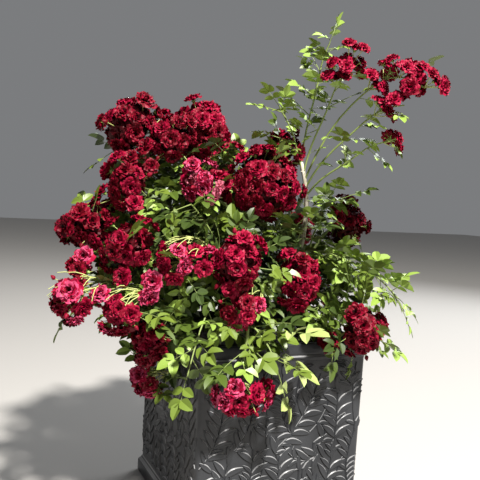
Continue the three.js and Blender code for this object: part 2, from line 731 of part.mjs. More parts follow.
// The whole plant, each sub-part its own named mesh
const plant = new THREE.Group();
plant.name = "rose_bush_in_planter";

function addMesh(name, geometry, look) {
  const mesh = new THREE.Mesh(geometry, new THREE.MeshStandardMaterial(look));
  mesh.name = name;
  plant.add(mesh);
}

addMesh("planter", toGeometry(planterSolid()), COLOURS.planter);
addMesh("soil", soilGeometry(), COLOURS.soil);
addMesh("stem", toGeometry(toSolid(stemGeometry())), COLOURS.wood);

CANES.forEach(growCane);
canes.forEach((grown) => {
  addMesh(grown.name, toGeometry(cutClear(caneSolid(grown), grown.from)), COLOURS.wood);
  claimLimb(grown.limb, grown.thick, grown.name);
});

const trusses = [...TRUSSES, ...OPEN_TRUSSES.map((row) => ({ ...row, open: true }))];
const masses = [...trusses.map(prepareTruss), ...SHOOTS.map(prepareShoot)];
masses.forEach((mass) => {
  claimLimb(mass.stalk, STALK_RADIUS, mass.name);
  if (mass.hub) {
    claim({ ...heartRoom(mass), broad: false }, mass.name);
  }
});
masses.forEach((mass) => {
  const look = mass.blooms > 0 ? COLOURS.flowers : COLOURS.leaves;
  addMesh(mass.name, toGeometry(massSolid(mass)), look);
});

export default plant;
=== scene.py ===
"""A red cluster rose in a square patio planter: the plant's finer twigs, leaves, blooms and bark,
and the planter's mouldings and leaf relief, over its CAD frame.

Sizes are millimetres in the row's frame, and become metres where a mesh is made.
"""
from collections import namedtuple
from math import acos, cos, hypot, pi, radians, sin, sqrt

import bpy
import numpy as np
from mathutils import Matrix, Vector
from numpy.linalg import norm


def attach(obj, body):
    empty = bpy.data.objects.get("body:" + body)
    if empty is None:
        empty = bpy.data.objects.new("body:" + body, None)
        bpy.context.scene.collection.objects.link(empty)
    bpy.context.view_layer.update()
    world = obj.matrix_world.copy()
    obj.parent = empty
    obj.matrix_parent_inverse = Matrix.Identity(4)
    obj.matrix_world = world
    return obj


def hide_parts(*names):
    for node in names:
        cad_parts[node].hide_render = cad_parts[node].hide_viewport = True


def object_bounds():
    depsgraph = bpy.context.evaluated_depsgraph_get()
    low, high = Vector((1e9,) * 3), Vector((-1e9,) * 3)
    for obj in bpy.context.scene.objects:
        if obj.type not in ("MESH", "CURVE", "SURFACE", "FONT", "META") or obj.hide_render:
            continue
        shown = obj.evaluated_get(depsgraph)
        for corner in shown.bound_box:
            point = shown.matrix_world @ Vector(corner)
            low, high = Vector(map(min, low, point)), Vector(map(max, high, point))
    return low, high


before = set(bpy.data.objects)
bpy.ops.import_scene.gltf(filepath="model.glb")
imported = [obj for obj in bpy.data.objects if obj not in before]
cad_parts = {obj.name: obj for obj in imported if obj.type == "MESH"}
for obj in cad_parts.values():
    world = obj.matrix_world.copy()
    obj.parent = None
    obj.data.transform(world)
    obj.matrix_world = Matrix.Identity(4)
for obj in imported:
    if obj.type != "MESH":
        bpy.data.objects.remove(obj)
cad_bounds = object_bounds()

MM = 0.001
UP = np.array([0.0, 0.0, 1.0])
RIGHT = np.array([1.0, 0.0, 0.0])
GOLDEN_TURN = pi * (3 - sqrt(5))

# Camera: the photograph's viewing angle
FRAME_PIXELS = 480
FOCAL_PIXELS = 637.5
CAMERA_PLACE = (-0.6165, -1.2798, 0.6619)
CAMERA_DOWN = radians(3.482)
CAMERA_ROLL = radians(3.162)
CAMERA_TURN = radians(24.42)


def linked(name, data):
    """A new object in the scene."""
    thing = bpy.data.objects.new(name, data)
    bpy.context.scene.collection.objects.link(thing)
    return thing


def make_camera():
    data = bpy.data.cameras.new("camera")
    data.lens = data.sensor_width * FOCAL_PIXELS / FRAME_PIXELS
    data.clip_start = 0.05
    camera = linked("camera", data)
    turned = Matrix.Translation(CAMERA_PLACE) @ Matrix.Rotation(-CAMERA_TURN, 4, "Z")
    tilted = Matrix.Rotation(pi / 2 - CAMERA_DOWN, 4, "X") @ Matrix.Rotation(CAMERA_ROLL, 4, "Z")
    camera.matrix_world = turned @ tilted
    bpy.context.scene.camera = camera


# Planter and soil sizes, as in the part's source
PLANTER_WIDTH = 380
PLANTER_HEIGHT = 385
PLANTER_CORNER = 9
PLANTER_TAPER = 8
WALL = 5
FLOOR = 6
RIM_HEIGHT = 26
RIM_STEP = 4
BEAD_HEIGHT = 5
FOOT_HEIGHT = 40
FOOT_STEP = 9
CLEARANCE = 0.3
SOIL_TOP = PLANTER_HEIGHT - 38

# Plant sizes, as in the part's source
STEM_RADIUS = 27
STEM_HEIGHT = 46
STEM_FOOT = SOIL_TOP + CLEARANCE
CANE_STEPS = 6
CANE_TIP_SHARE = 0.55
STALK_STEPS = 4
SHOOT_STEPS = 6
STALK_RADIUS = 3.6
TWIG_RADIUS = 1.3
TWIG_LENGTH = 46
TWIG_EVERY = 5
KNUCKLE_RADIUS = 6
HEART_INSET = 10
BLOOM_RADIUS = 21
TRUSS_FAN = 2.0
LEAF_LENGTH = 64
LEAF_WIDTH = 36
SIDE_LEAF_LEAN = 1.3
SIDE_LEAF_PLACE = 0.6
SIDE_LEAF_STAGGER = 0.12
SIDE_LEAF_SHARE = 0.8
TRIES = 8
TRUSS_SEED = 1
SHOOT_SEED = 101
HEART = np.array([-70.0, -10.0, 480.0])

# name, rises from, where along that, tip, share out and share up where it turns, foot radius,
# and from where to where it carries how many fine twigs
CANES = [
    ("cane_left_tall", "stem", 0, (-250, -50, 705), 0.3, 0.75, 6, (0.35, 1, 5)),
    ("cane_left", "cane_left_tall", 0.2, (-290, -90, 575), 0.45, 0.8, 5, (0.2, 1, 5)),
    ("cane_front", "stem", 0, (-140, -150, 520), 0.2, 0.8, 5.5, (0.35, 1, 4)),
    ("cane_old", "stem", 0, (66, -72, 752), 1.75, 0.55, 7.5, (0.1, 0.35, 2)),
    ("cane_right", "stem", 0, (128, -40, 560), 0.3, 0.9, 5.5, (0.35, 1, 7)),
    ("cane_back", "stem", 0, (10, 120, 655), 0.35, 0.75, 6, (0.3, 1, 14)),
    ("cane_back_left", "stem", 0, (-185, 110, 620), 0.35, 0.8, 6, (0.3, 1, 14)),
    ("bough_middle_tall", "cane_left_tall", 0.45, (-160, -60, 715), 0.3, 0.6, 4.5, (0.2, 0.95, 6)),
    ("bough_left_low", "cane_left", 0.4, (-280, -125, 490), 0.4, 0.95, 4.5, (0.2, 1, 5)),
    ("bough_front_low", "cane_front", 0.3, (-105, -212, 424), 0.5, 1.9, 4.5, (0.2, 0.5, 1)),
    ("bough_centre", "cane_old", 0.35, (-30, -85, 625), 0.4, 0.6, 5, (0.2, 0.95, 8)),
    ("bough_right_low", "cane_right", 0.3, (140, -150, 440), 0.4, 1.2, 4.5, (0.2, 1, 6)),
    ("bough_back_right", "cane_back", 0.4, (125, 125, 545), 0.4, 0.9, 4.5, (0.2, 1, 12)),
    ("bough_back_low", "cane_back_left", 0.35, (-110, 190, 450), 0.5, 1.2, 4.5, (0.2, 1, 12)),
]

# name, grows on, where along that, middle, half width and half height, blooms, leaves, rise, the
# tints that its roses take, and how many leaves stand out round it
TRUSSES = [
    ("top_left", "cane_left_tall", 1, (-312, -60, 790), (55, 64), 10, 5, 0.9, "deep", 1),
    ("top_middle", "bough_middle_tall", 0.82, (-243, -114, 775), (49, 52), 8, 5, 0.9, "deep", 0),
    ("top_right", "bough_middle_tall", 1, (-156, -55, 800), (58, 60), 9, 5, 1.4, "red", 2),
    ("upper_left", "cane_left_tall", 0.8, (-316, -110, 688), (44, 44), 6, 5, 0.5, "red", 4),
    ("left", "cane_left", 1, (-386, -90, 600), (44, 46), 6, 5, 0.2, "dark", 3),
    ("middle_left", "cane_left", 0.84, (-322, -160, 572), (48, 52), 7, 5, 0.2, "red", 3),
    ("middle", "cane_front", 0.9, (-250, -195, 548), (42, 40), 5, 6, 0.1, "rosy", 10),
    ("far_left", "bough_left_low", 1, (-415, -140, 476), (46, 56), 7, 5, -0.4, "rosy", 2),
    ("lower_left", "bough_left_low", 0.86, (-340, -176, 460), (40, 46), 6, 5, -0.3, "rosy", 10),
    ("low_left", "bough_left_low", 0.7, (-272, -145, 395), (38, 50), 6, 5, -0.4, "deep", 10),
    ("bottom_left", "bough_left_low", 0.55, (-241, -62, 296), (36, 38), 4, 5, -1.2, "rosy", 10),
    ("centre", "bough_centre", 1, (-48, -125, 698), (70, 84), 13, 5, 0.3, "red", 7),
    ("faded", "bough_centre", 0.85, (-192, -150, 692), (32, 32), 4, 7, 0.4, "faded", 10),
    ("front", "cane_front", 1, (-143, -225, 552), (54, 56), 8, 5, 0.2, "bright", 10),
    ("front_low", "cane_front", 0.75, (-129, -222, 464), (46, 42), 6, 5, -0.2, "rosy", 4),
    ("right_centre", "cane_right", 0.7, (24, -160, 510), (54, 52), 8, 6, 0.2, "red", 10),
    ("right_low", "bough_right_low", 1, (138, -233, 415), (54, 52), 8, 5, -0.1, "deep", 10),
    ("right", "cane_right", 1, (192, -62, 628), (44, 80), 9, 6, 0.5, "dark", 3),
    ("upper_right", "cane_old", 0.99, (37, -38, 784), (38, 34), 4, 6, 0.8, "red", 10),
    ("back_top", "bough_middle_tall", 0.7, (-140, 50, 775), (52, 50), 6, 5, 1.2, "deep", 10),
    ("back_left_high", "cane_back_left", 1, (-255, 110, 700), (52, 52), 6, 5, 0.6, "red", 10),
    ("back_left", "cane_back_left", 0.85, (-305, 60, 590), (48, 50), 5, 5, 0.2, "deep", 10),
    ("back_left_low", "bough_back_low", 0.8, (-255, 150, 480), (46, 46), 5, 5, -0.1, "rosy", 10),
    ("back_low", "bough_back_low", 1, (-110, 262, 470), (48, 46), 5, 5, -0.1, "red", 10),
    ("back_high", "cane_back", 1, (-35, 165, 735), (54, 52), 6, 5, 0.8, "red", 10),
    ("back", "cane_back", 0.8, (-95, 200, 605), (52, 52), 6, 5, 0.3, "deep", 10),
    ("back_right", "bough_back_right", 1, (185, 150, 600), (50, 50), 6, 5, 0.4, "red", 10),
    ("back_right_low", "bough_back_right", 0.8, (110, 230, 480), (48, 46), 5, 5, 0, "rosy", 10),
    ("side_right_low", "cane_right", 0.8, (215, 35, 480), (42, 46), 5, 5, 0, "deep", 10),
    ("front_hanging", "bough_front_low", 1, (-121, -243, 310), (48, 46), 8, 5, -2.5, "pink", 0),
]

# name, grows on, where along that, tip, arch, flowering share, spread, blooms, leaves, leaf tint,
# fine leaves, and how much larger than others its leaves are
SHOOTS = [
    ("top_bloom", "cane_old", 0.93, (106, -172, 940), 0, 0.35, 62, 7, 4, "fresh", 4, 1),
    ("arc", "cane_old", 0.89, (208, -286, 900), 135, 0.6, 46, 9, 2, "fresh", 2, 1),
    ("side", "cane_old", 0.85, (184, -256, 868), 30, 0.35, 56, 6, 3, "fresh", 3, 1),
    ("side_low", "cane_old", 0.8, (182, -236, 800), 10, 0.3, 44, 3, 4, "fresh", 3, 1),
    ("top", "cane_old", 1, (94, -112, 1002), 0, 0, 0, 0, 12, "fresh", 12, 1),
    ("top_left", "cane_old", 0.952, (-5, -88, 865), 0, 0, 0, 0, 8, "fresh", 9, 1),
    ("right", "cane_right", 0.9, (200, -262, 486), 40, 0, 0, 0, 12, "fresh", 30, 1),
    ("right_high", "cane_right", 0.95, (100, -150, 690), 0, 0, 0, 0, 10, "green", 12, 1),
    ("low_left", "cane_front", 0.55, (-232, -240, 350), 110, 0, 0, 0, 15, "green", 5, 1.25),
    ("low_front", "bough_front_low", 0.85, (-60, -254, 352), 25, 0, 0, 0, 8, "pale", 0, 1.5),
    ("middle", "cane_front", 0.8, (-215, -165, 652), 0, 0, 0, 0, 12, "mid", 16, 1),
    ("rim_right", "bough_right_low", 0.7, (74, -225, 436), 25, 0, 0, 0, 8, "green", 8, 1.15),
]

# The truss whose blooms hang apart on long pedicels
OPEN_TRUSS = "front_hanging"
OPEN_TRUSS_FAN = 1.9

# Blooms that trail beside a truss: how far away, and half their spread
LOBES = {
    "truss_right_low": ((-62, 22, -24), 30),
    "truss_top_middle": ((-8, 10, 34), 34),
}

# Where the crown is open: the lowest and highest corners of spaces that no fine leaf enters
OPEN_SPACES = [
    ((40, -160, 560), (150, 60, 765)),
    ((-90, 20, 768), (110, 320, 1100)),
    ((-460, -400, 815), (0, 320, 1100)),
    ((-470, -330, 515), (-395, 60, 620)),
    ((150, -330, 570), (290, -75, 730)),
]

# Plain colours, dealt out by spray
PETALS = {
    "black": (0.012, 0.0002, 0.001),
    "dark": (0.048, 0.0004, 0.003),
    "deep": (0.105, 0.0008, 0.006),
    "red": (0.18, 0.0015, 0.015),
    "bright": (0.28, 0.003, 0.03),
    "rose": (0.46, 0.05, 0.125),
    "pale": (0.60, 0.15, 0.22),
}
LEAF_TINTS = {
    "pale": (0.33, 0.40, 0.13),
    "fresh": (0.215, 0.315, 0.055),
    "green": (0.118, 0.17, 0.023),
    "mid": (0.064, 0.10, 0.014),
    "dark": (0.035, 0.058, 0.011),
    "deep": (0.014, 0.028, 0.007),
}
TWIG_TINTS = {
    "pale": (0.42, 0.46, 0.15),
    "green": (0.20, 0.26, 0.07),
}
CALYX_GREEN = (0.22, 0.33, 0.07)

# The tints that the leaves on one stalk take in turn
LEAF_MIXES = {
    "pale": ["pale", "green", "pale", "mid"],
    "fresh": ["fresh", "green", "fresh"],
    "green": ["green", "mid", "fresh", "mid"],
    "mid": ["mid", "dark", "green"],
}

# The tints of sprays deep inside the bush, darker there as painted shade, and further out, each up to its
# share of chance
INNER_TINTS = [(0.5, "dark"), (1, "deep")]
OUTER_TINTS = [(0.16, "fresh"), (0.45, "green"), (0.75, "mid"), (1, "dark")]

# The tints that the blooms of a truss take, and each tint's petals from the middle outwards,
# and last their edges: darker towards the middle as painted shade, lightest at the edges as painted
# highlight
BLOOM_TINTS = {
    "dark": ["deep", "dark"],
    "deep": ["deep", "red", "dark"],
    "red": ["red", "deep", "red"],
    "bright": ["bright", "bright", "red"],
    "rosy": ["rosy", "red", "deep"],
    "pink": ["rosy", "bright", "rosy"],
    "faded": ["rosy", "faded", "rosy"],
    "shoot": ["bright", "red"],
}
PETAL_TONES = {
    "shade": ("black", "dark", "dark", "dark"),
    "dark": ("black", "dark", "deep", "red"),
    "deep": ("black", "deep", "deep", "red"),
    "red": ("dark", "red", "red", "bright"),
    "bright": ("dark", "red", "bright", "bright"),
    "rosy": ("dark", "red", "bright", "rose"),
    "faded": ("bright", "rose", "pale", "pale"),
}


# Vectors
def point(place):
    return np.array(place, dtype=float)


def unit(direction):
    return direction / norm(direction)


def mixed(start, end, share):
    return start + (end - start) * share


def leaning(axis, lean, turn):
    """The direction that leans away from an axis by one angle and turns round it by another."""
    side = unit(np.cross(axis, RIGHT if abs(axis[2]) > 0.9 else UP))
    around = side * cos(turn) + np.cross(axis, side) * sin(turn)
    return axis * cos(lean) + around * sin(lean)


def dome_directions(axis, fan, count, seed):
    """Directions spread evenly over the cap of a ball that leans up to fan away from an axis."""
    for i in range(count):
        lean = acos(1 - (1 - cos(fan)) * (i + 0.5) / count)
        yield leaning(axis, lean, i * GOLDEN_TURN + seed)


def frame_along(direction, hint):
    """A rotation whose second column is the direction and whose third is nearest to the hint."""
    ahead = unit(direction)
    if abs(ahead @ hint) > 0.95:
        hint = RIGHT if abs(ahead[0]) < 0.9 else UP
    across = unit(np.cross(ahead, hint))
    return np.column_stack((across, ahead, np.cross(across, ahead)))


def frame_facing(axis, spin):
    """A rotation whose third column is the axis, turned round it by the spin."""
    across = unit(np.cross(axis, RIGHT if abs(axis[0]) < 0.8 else UP))
    first = across * cos(spin) + np.cross(axis, across) * sin(spin)
    return np.column_stack((first, np.cross(axis, first), axis))


def turned_about_z(points, angle):
    cosine, sine = cos(angle), sin(angle)
    return points @ np.array([[cosine, sine, 0], [-sine, cosine, 0], [0, 0, 1]])


def turns_round(count):
    return np.linspace(0, 2 * pi, count, endpoint=False)


def stacked(*columns):
    """Columns of numbers side by side, for points or the corners of faces."""
    return np.stack(np.broadcast_arrays(*columns), axis=-1)


class RepeatableStream:
    """The source's stream of numbers from 0 to 1."""

    def __init__(self, seed):
        self.state = seed & 0xFFFFFFFF

    def __call__(self):
        self.state = (self.state * 1664525 + 1013904223) & 0xFFFFFFFF
        return self.state / 4294967296

    def choose(self, options):
        return options[int(self() * len(options))]


def bend(foot, turn, tip, steps):
    shares = np.linspace(0, 1, steps + 1)[:, None]
    return foot * (1 - shares) ** 2 + 2 * turn * shares * (1 - shares) + tip * shares**2


class Limb:
    """A curve, and the points on it that its straight stretches run between."""

    def __init__(self, foot, turn, tip, steps):
        self.curve = (foot, turn, tip)
        self.points = bend(foot, turn, tip, steps)
        self.length = float(np.sum(norm(np.diff(self.points, axis=0), axis=1)))

    def stretch(self, share):
        last = len(self.points) - 2
        place = share * (last + 1)
        index = min(int(place), last)
        return self.points[index], self.points[index + 1], place - index

    def at(self, share):
        return mixed(*self.stretch(share))

    def heading(self, share):
        start, end, _ = self.stretch(share)
        return unit(end - start)


# Room: what has grown, as lines with a radius, so that nothing else grows into it
Line = namedtuple("Line", "start end radius broad", defaults=(False,))
MOST_LINES = 20000
MOST_BLOOMS = 4000


def round_room(middle, axis, radius):
    return Line(middle, middle + axis, radius, True)


def hits_planter(line):
    half = PLANTER_WIDTH / 2 + 1 + line.radius
    spots = mixed(line.start, line.end, np.linspace(0, 1, 5)[:, None])
    in_plan = np.all(np.abs(spots[:, :2]) < half, axis=1)
    return bool(np.any(in_plan & (spots[:, 2] < PLANTER_HEIGHT + line.radius)))


def distances(start, end, starts, ends):
    """The distance from one stretch to each of several, between their nearest points."""
    along_a = end - start
    along_b = ends - starts
    between = start - starts
    length_a = along_a @ along_a
    length_b = np.einsum("ij,ij->i", along_b, along_b)
    cross = along_b @ along_a
    start_a = between @ along_a
    start_b = np.einsum("ij,ij->i", along_b, between)
    spread = length_a * length_b - cross * cross
    parallel = spread <= 1e-6
    share_a = (cross * start_b - start_a * length_b) / np.where(parallel, 1, spread)
    share_a = np.clip(np.where(parallel, 0, share_a), 0, 1)
    share_b = np.clip((cross * share_a + start_b) / length_b, 0, 1)
    share_a = np.clip((cross * share_b - start_a) / length_a, 0, 1)
    return norm(between + along_a * share_a[:, None] - along_b * share_b[:, None], axis=1)


class Room:
    def __init__(self, space_between, own_overlap):
        self.space_between = space_between
        self.own_overlap = own_overlap
        self.rows = np.zeros((MOST_LINES, 9))
        self.count = 0

    def claim(self, line, owner):
        self.rows[self.count] = (*line.start, *line.end, line.radius, line.broad, owner)
        self.count += 1

    def claim_limb(self, limb, radius, owner):
        for start, end in zip(limb.points[:-1], limb.points[1:]):
            self.claim(Line(start, end, radius), owner)

    def is_free(self, line, owner):
        """Whether a line keeps clear of others' lines, and a broad one of its owner's broad ones."""
        if hits_planter(line):
            return False
        rows = self.rows[: self.count]
        radii, broad, owners = rows[:, 6:].T
        gaps = distances(line.start, line.end, rows[:, :3], rows[:, 3:6]) - line.radius - radii
        overlap = -self.own_overlap * np.minimum(line.radius, radii)
        own_least = np.where((broad > 0) & line.broad, overlap, -np.inf)
        least = np.where(owners == owner, own_least, self.space_between)
        return bool(np.all(gaps > least))


solid_room = Room(space_between=0.8, own_overlap=0.5)
fine_room = Room(space_between=0.5, own_overlap=1.3)


# Growth by the source's rule
def upper_side(place):
    return unit(unit(place - HEART) * 0.6 + UP)


class Growth:
    """One mass: its stalk, and the twigs, leaves and blooms that it carries."""

    open = False
    hub = None

    def __init__(self, name, number, seed, stalk, tint, blooms, leaves):
        self.name = name
        self.number = number
        self.seed = seed
        self.stalk = stalk
        self.tint = tint
        self.bloom_count = blooms
        self.leaf_count = leaves
        self.twigs = []
        self.leaves = []
        self.blooms = []

    def try_leaf(self, root, direction, length, upper):
        tip = root + direction * length
        line = Line(root + direction * 0.3 * length, tip, LEAF_WIDTH / 2, True)
        if not solid_room.is_free(line, self.number):
            return False
        solid_room.claim(line, self.number)
        self.leaves.append((root, tip, upper))
        return True

    def try_leafy_twig(self, root, direction, length):
        tip = root + direction * length
        twig = Line(root, tip, TWIG_RADIUS)
        upper = upper_side(tip)
        is_free = solid_room.is_free(twig, self.number)
        if not is_free or not self.try_leaf(tip, direction, LEAF_LENGTH, upper):
            return False
        solid_room.claim(twig, self.number)
        self.twigs.append((root, tip))
        side = unit(np.cross(direction, upper))
        for hand in (1, -1):
            outward = unit(direction + side * SIDE_LEAF_LEAN * hand)
            place = mixed(root, tip, SIDE_LEAF_PLACE + SIDE_LEAF_STAGGER * hand)
            self.try_leaf(place, outward, LEAF_LENGTH * SIDE_LEAF_SHARE, upper)
        return True

    def try_bloom(self, foot, middle, axis, radius):
        line = round_room(middle, axis, radius * 0.97)
        is_crowded = any(norm(bloom[0] - middle) < bloom[2] + radius for bloom in self.blooms)
        if is_crowded or not solid_room.is_free(line, self.number):
            return False
        solid_room.claim(line, self.number)
        self.blooms.append((middle, axis, radius, foot))
        if foot is not None:
            solid_room.claim(Line(foot, middle, TWIG_RADIUS), self.number)
        return True

    def grow_leaves(self, bare, random):
        for i in range(self.leaf_count):
            share = bare + (1 - bare) * ((i + 0.2 + 0.6 * random()) / self.leaf_count)
            root = self.stalk.at(share)
            heading = self.stalk.heading(share)
            size = 0.85 + 0.3 * random()
            for attempt in range(TRIES):
                turn = (i + attempt * 0.37) * GOLDEN_TURN + self.seed
                direction = leaning(heading, 0.8 + 0.35 * random(), turn)
                if i % TWIG_EVERY == 1:
                    grown = self.try_leafy_twig(root, direction, TWIG_LENGTH * size)
                else:
                    grown = self.try_leaf(root, direction, LEAF_LENGTH * size, upper_side(root))
                if grown:
                    break


class Truss(Growth):
    fine_leaves = 9
    leaf_scale = 1

    def __init__(self, number, row, limbs):
        name, on, at, middle, half_sizes, blooms, leaves, rise, tint, self.collar = row
        self.centre = point(middle)
        self.wide, self.tall = half_sizes
        self.look = unit(unit((self.centre - HEART) * (1, 1, 0)) + UP * rise)
        hub = self.centre - self.look * 0.45 * self.reach(self.look)
        foot = limbs[on].at(at)
        turn = hub - self.look * 0.4 * norm(hub - foot)
        stalk = Limb(foot, turn, hub, STALK_STEPS)
        seed = TRUSS_SEED + number
        super().__init__("truss_" + name, number, seed, stalk, tint, blooms, leaves)
        self.hub = hub
        self.hangs = tint in ("rosy", "pink")
        if name == OPEN_TRUSS:
            self.open = True
            self.fine_leaves = 2
            self.leaf_scale = 1.3

    def reach(self, direction):
        across = hypot(direction[0], direction[1]) / self.wide
        return 1 / hypot(across, direction[2] / self.tall)

    def heart_room(self):
        if self.open:
            return round_room(self.hub, UP, KNUCKLE_RADIUS)
        return round_room(self.centre, UP, min(self.wide, self.tall) - HEART_INSET)

    def grow(self):
        random = RepeatableStream(self.seed)
        foot = self.hub if self.open else None
        for i in range(self.bloom_count):
            radius = BLOOM_RADIUS * (0.88 + 0.24 * random())
            for attempt in range(TRIES):
                lean = TRUSS_FAN * sqrt((i + 0.3) / self.bloom_count) * (0.92 + 0.16 * random())
                axis = leaning(self.look, lean, (i + attempt * 0.3) * GOLDEN_TURN + self.seed)
                middle = self.centre + axis * (self.reach(axis) - radius * 0.5)
                random()  # the turn of the solid's bloom
                if self.try_bloom(foot, middle, axis, radius):
                    break
        solid_room.claim(self.heart_room(), self.number)
        self.grow_leaves(0.15, random)


class Shoot(Growth):
    def __init__(self, number, index, row, limbs):
        name, on, at, tip, arch, self.flowering, self.spread, blooms, leaves, tint = row[:10]
        self.fine_leaves, self.leaf_scale = row[10:]
        foot = limbs[on].at(at)
        turn = mixed(foot, point(tip), 0.5)
        turn[2] = (max(foot[2], tip[2]) + turn[2]) * 0.5 + arch
        stalk = Limb(foot, turn, point(tip), SHOOT_STEPS)
        seed = SHOOT_SEED + index
        super().__init__("shoot_" + name, number, seed, stalk, tint, blooms, leaves)

    def grow(self):
        random = RepeatableStream(self.seed)
        for i in range(self.bloom_count):
            share = 1 - self.flowering * ((i + 0.2 * random()) / self.bloom_count)
            root = self.stalk.at(share)
            heading = self.stalk.heading(share)
            radius = BLOOM_RADIUS * (0.75 + 0.2 * random())
            for attempt in range(TRIES):
                lean = 0.1 if i == 0 else 0.6 + 0.6 * random()
                turn = (i + attempt * 0.3) * GOLDEN_TURN + self.seed
                axis = unit(leaning(heading, lean, turn) + UP)
                middle = root + axis * self.spread * (0.45 + 0.35 * random())
                random()  # the turn of the solid's bloom
                if self.try_bloom(root, middle, axis, radius):
                    break
        if self.bloom_count == 0:
            tip = self.stalk.at(1)
            self.try_leaf(tip, self.stalk.heading(1), LEAF_LENGTH, upper_side(tip))
        self.grow_leaves(0.2, random)


def cane_limbs():
    limbs = {}
    for name, parent, at, tip, out_share, up_share, _, _ in CANES:
        tip = point(tip)
        if parent == "stem":
            foot = unit(tip * (1, 1, 0)) * STEM_RADIUS * 0.6 + UP * (STEM_FOOT + STEM_HEIGHT * 0.4)
        else:
            foot = limbs[parent].at(at)
        turn = mixed(foot, tip, np.array([out_share, out_share, up_share]))
        limbs[name] = Limb(foot, turn, tip, CANE_STEPS)
    return limbs


def grow_plant(limbs):
    """Every mass, with its twigs, leaves and blooms where the solids have theirs."""
    masses = [Truss(number, row, limbs) for number, row in enumerate(TRUSSES)]
    masses += [Shoot(len(masses) + i, i, row, limbs) for i, row in enumerate(SHOOTS)]
    for index, row in enumerate(CANES):
        solid_room.claim_limb(limbs[row[0]], row[6], -1 - index)
    for mass in masses:
        solid_room.claim_limb(mass.stalk, STALK_RADIUS, mass.number)
        if mass.hub is not None:
            solid_room.claim(mass.heart_room()._replace(broad=False), mass.number)
    for mass in masses:
        mass.grow()
    return masses


# Finer growth on the same limbs, in the fine room, whose owners are kinds
LEAF_OWNER = -1000
BLOOM_OWNER = -2000
LIMB_OWNER = -3000
FINE_LEAF_RADIUS = 7
FINE_TWIG_RADIUS = 1.4
TWIG_START = 14
FINE_PACKING = 0.74
REACH_MARGIN = 6
BRIDGE_GAP = 48
BRIDGE_BLOOMS = 26
GAP_DEPTH = -10
GAP_LEAVES = 16
LOBE_BLOOMS = 24
INNER_BLOOMS = 14
BUDS = 3
BESIDE_BLOOMS = 4
FAN_ARMS = 7
FAN_PEDICELS = 4
FAN_OPENING = 0.3
# From where to where along a limb it carries how many twigs inside the bush
INNER_TWIGS = (0.1, 0.95, 9)
INNER_REACH = 84
OUTER_REACH = 125
DEEP_INSIDE = 175
BUSH_SHAPE = (1.25, 1, 0.9)
FULL_FAN = 2.2
HANGING_FAN = 1.35
TWIG_LEAF_SPACING = 20
HIGH_STALK = 750
HIGH_STALK_LEAF = 34
STALK_LEAF = 52
FINE_STALK_SEED = 301
FINE_TRUSS_SEED = 501
COLLAR_SEED = 601
FINE_SHOOT_SEED = 701
OUTER_TWIG_SEED = 801
INNER_TWIG_SEED = 901
LOWEST_CORNER = np.array(cad_bounds[0]) / MM - REACH_MARGIN
HIGHEST_CORNER = np.array(cad_bounds[1]) / MM + REACH_MARGIN

Leaf = namedtuple("Leaf", "root direction length upper tint")
Bloom = namedtuple("Bloom", "middle axis radius tint form", defaults=("rose",))


class BloomPlaces:
    """Where blooms stand, in the whole bush, so that each new one stands beside the others."""

    def __init__(self):
        self.rows = np.zeros((MOST_BLOOMS, 4))
        self.count = 0

    def add(self, middle, radius):
        self.rows[self.count] = (*middle, radius)
        self.count += 1

    def has_place(self, middle, radius):
        rows = self.rows[: self.count]
        apart = norm(rows[:, :3] - middle, axis=1)
        return bool(np.all(apart > FINE_PACKING * (rows[:, 3] + radius)))


bloom_places = BloomPlaces()


def within_reach(place):
    return bool(np.all(place > LOWEST_CORNER) and np.all(place < HIGHEST_CORNER))


def in_the_open(place):
    """Whether nothing leafy may reach a place."""
    for low, high in OPEN_SPACES:
        if np.all(place > low) and np.all(place < high):
            return True
    return not within_reach(place)


class Foliage:
    """Everything fine that one region of the bush carries."""

    def __init__(self):
        self.leaves = []
        self.twigs = []
        self.blooms = []
        self.nodes = []

    def add_twig(self, foot, turn, tip, radius, tint="green"):
        self.twigs.append(((foot, turn, tip), radius, tint))

    def add_pedicel(self, hub, middle, axis, radius):
        base = middle - axis * radius * 0.55
        self.add_twig(hub, mixed(hub, base, 0.6) - axis * radius * 0.25, base, 1.1, "pale")

    def add_leaf(self, root, direction, length, tint):
        """A leaf, if there is room for it."""
        tip = root + direction * length
        line = Line(root + direction * length * 0.35, tip, FINE_LEAF_RADIUS, True)
        if in_the_open(tip) or not fine_room.is_free(line, LEAF_OWNER):
            return False
        fine_room.claim(line, LEAF_OWNER)
        self.leaves.append(Leaf(root, direction, length, upper_side(tip), tint))
        return True

    def add_leafy_twig(self, root, direction, length, tint, random):
        """A twig that lifts towards its tip and carries leaves in turn, if there is room for it."""
        tip = root + direction * length + UP * length * 0.12
        line = Line(root + direction * TWIG_START, tip, FINE_TWIG_RADIUS)
        if in_the_open(tip) or not fine_room.is_free(line, LEAF_OWNER):
            return False
        turn = root + direction * length * 0.5 - UP * length * 0.05
        self.add_twig(root, turn, tip, FINE_TWIG_RADIUS)
        self.add_leaf(tip, unit(direction + UP * 0.1), 56 + 24 * random(), tint)
        steps = max(2, round(length / TWIG_LEAF_SPACING))
        for i, station in enumerate(bend(root, turn, tip, steps)[1:-1]):
            for attempt in range(3):
                turn = (i + attempt * 0.3) * GOLDEN_TURN * 1.3
                heading = leaning(direction, 0.8 + 0.4 * random(), turn)
                if self.add_leaf(station, heading, 50 + 26 * random(), tint):
                    break
        return True

    def add_bloom(self, middle, axis, radius, tint):
        """A rose, if it has a place beside the others."""
        line = round_room(middle, axis, radius * 0.8)
        fits = bloom_places.has_place(middle, radius) and within_reach(middle + axis * radius)
        if not fits or hits_planter(line):
            return False
        bloom_places.add(middle, radius)
        fine_room.claim(line, BLOOM_OWNER)
        self.blooms.append(Bloom(middle, axis, radius, tint))
        return True


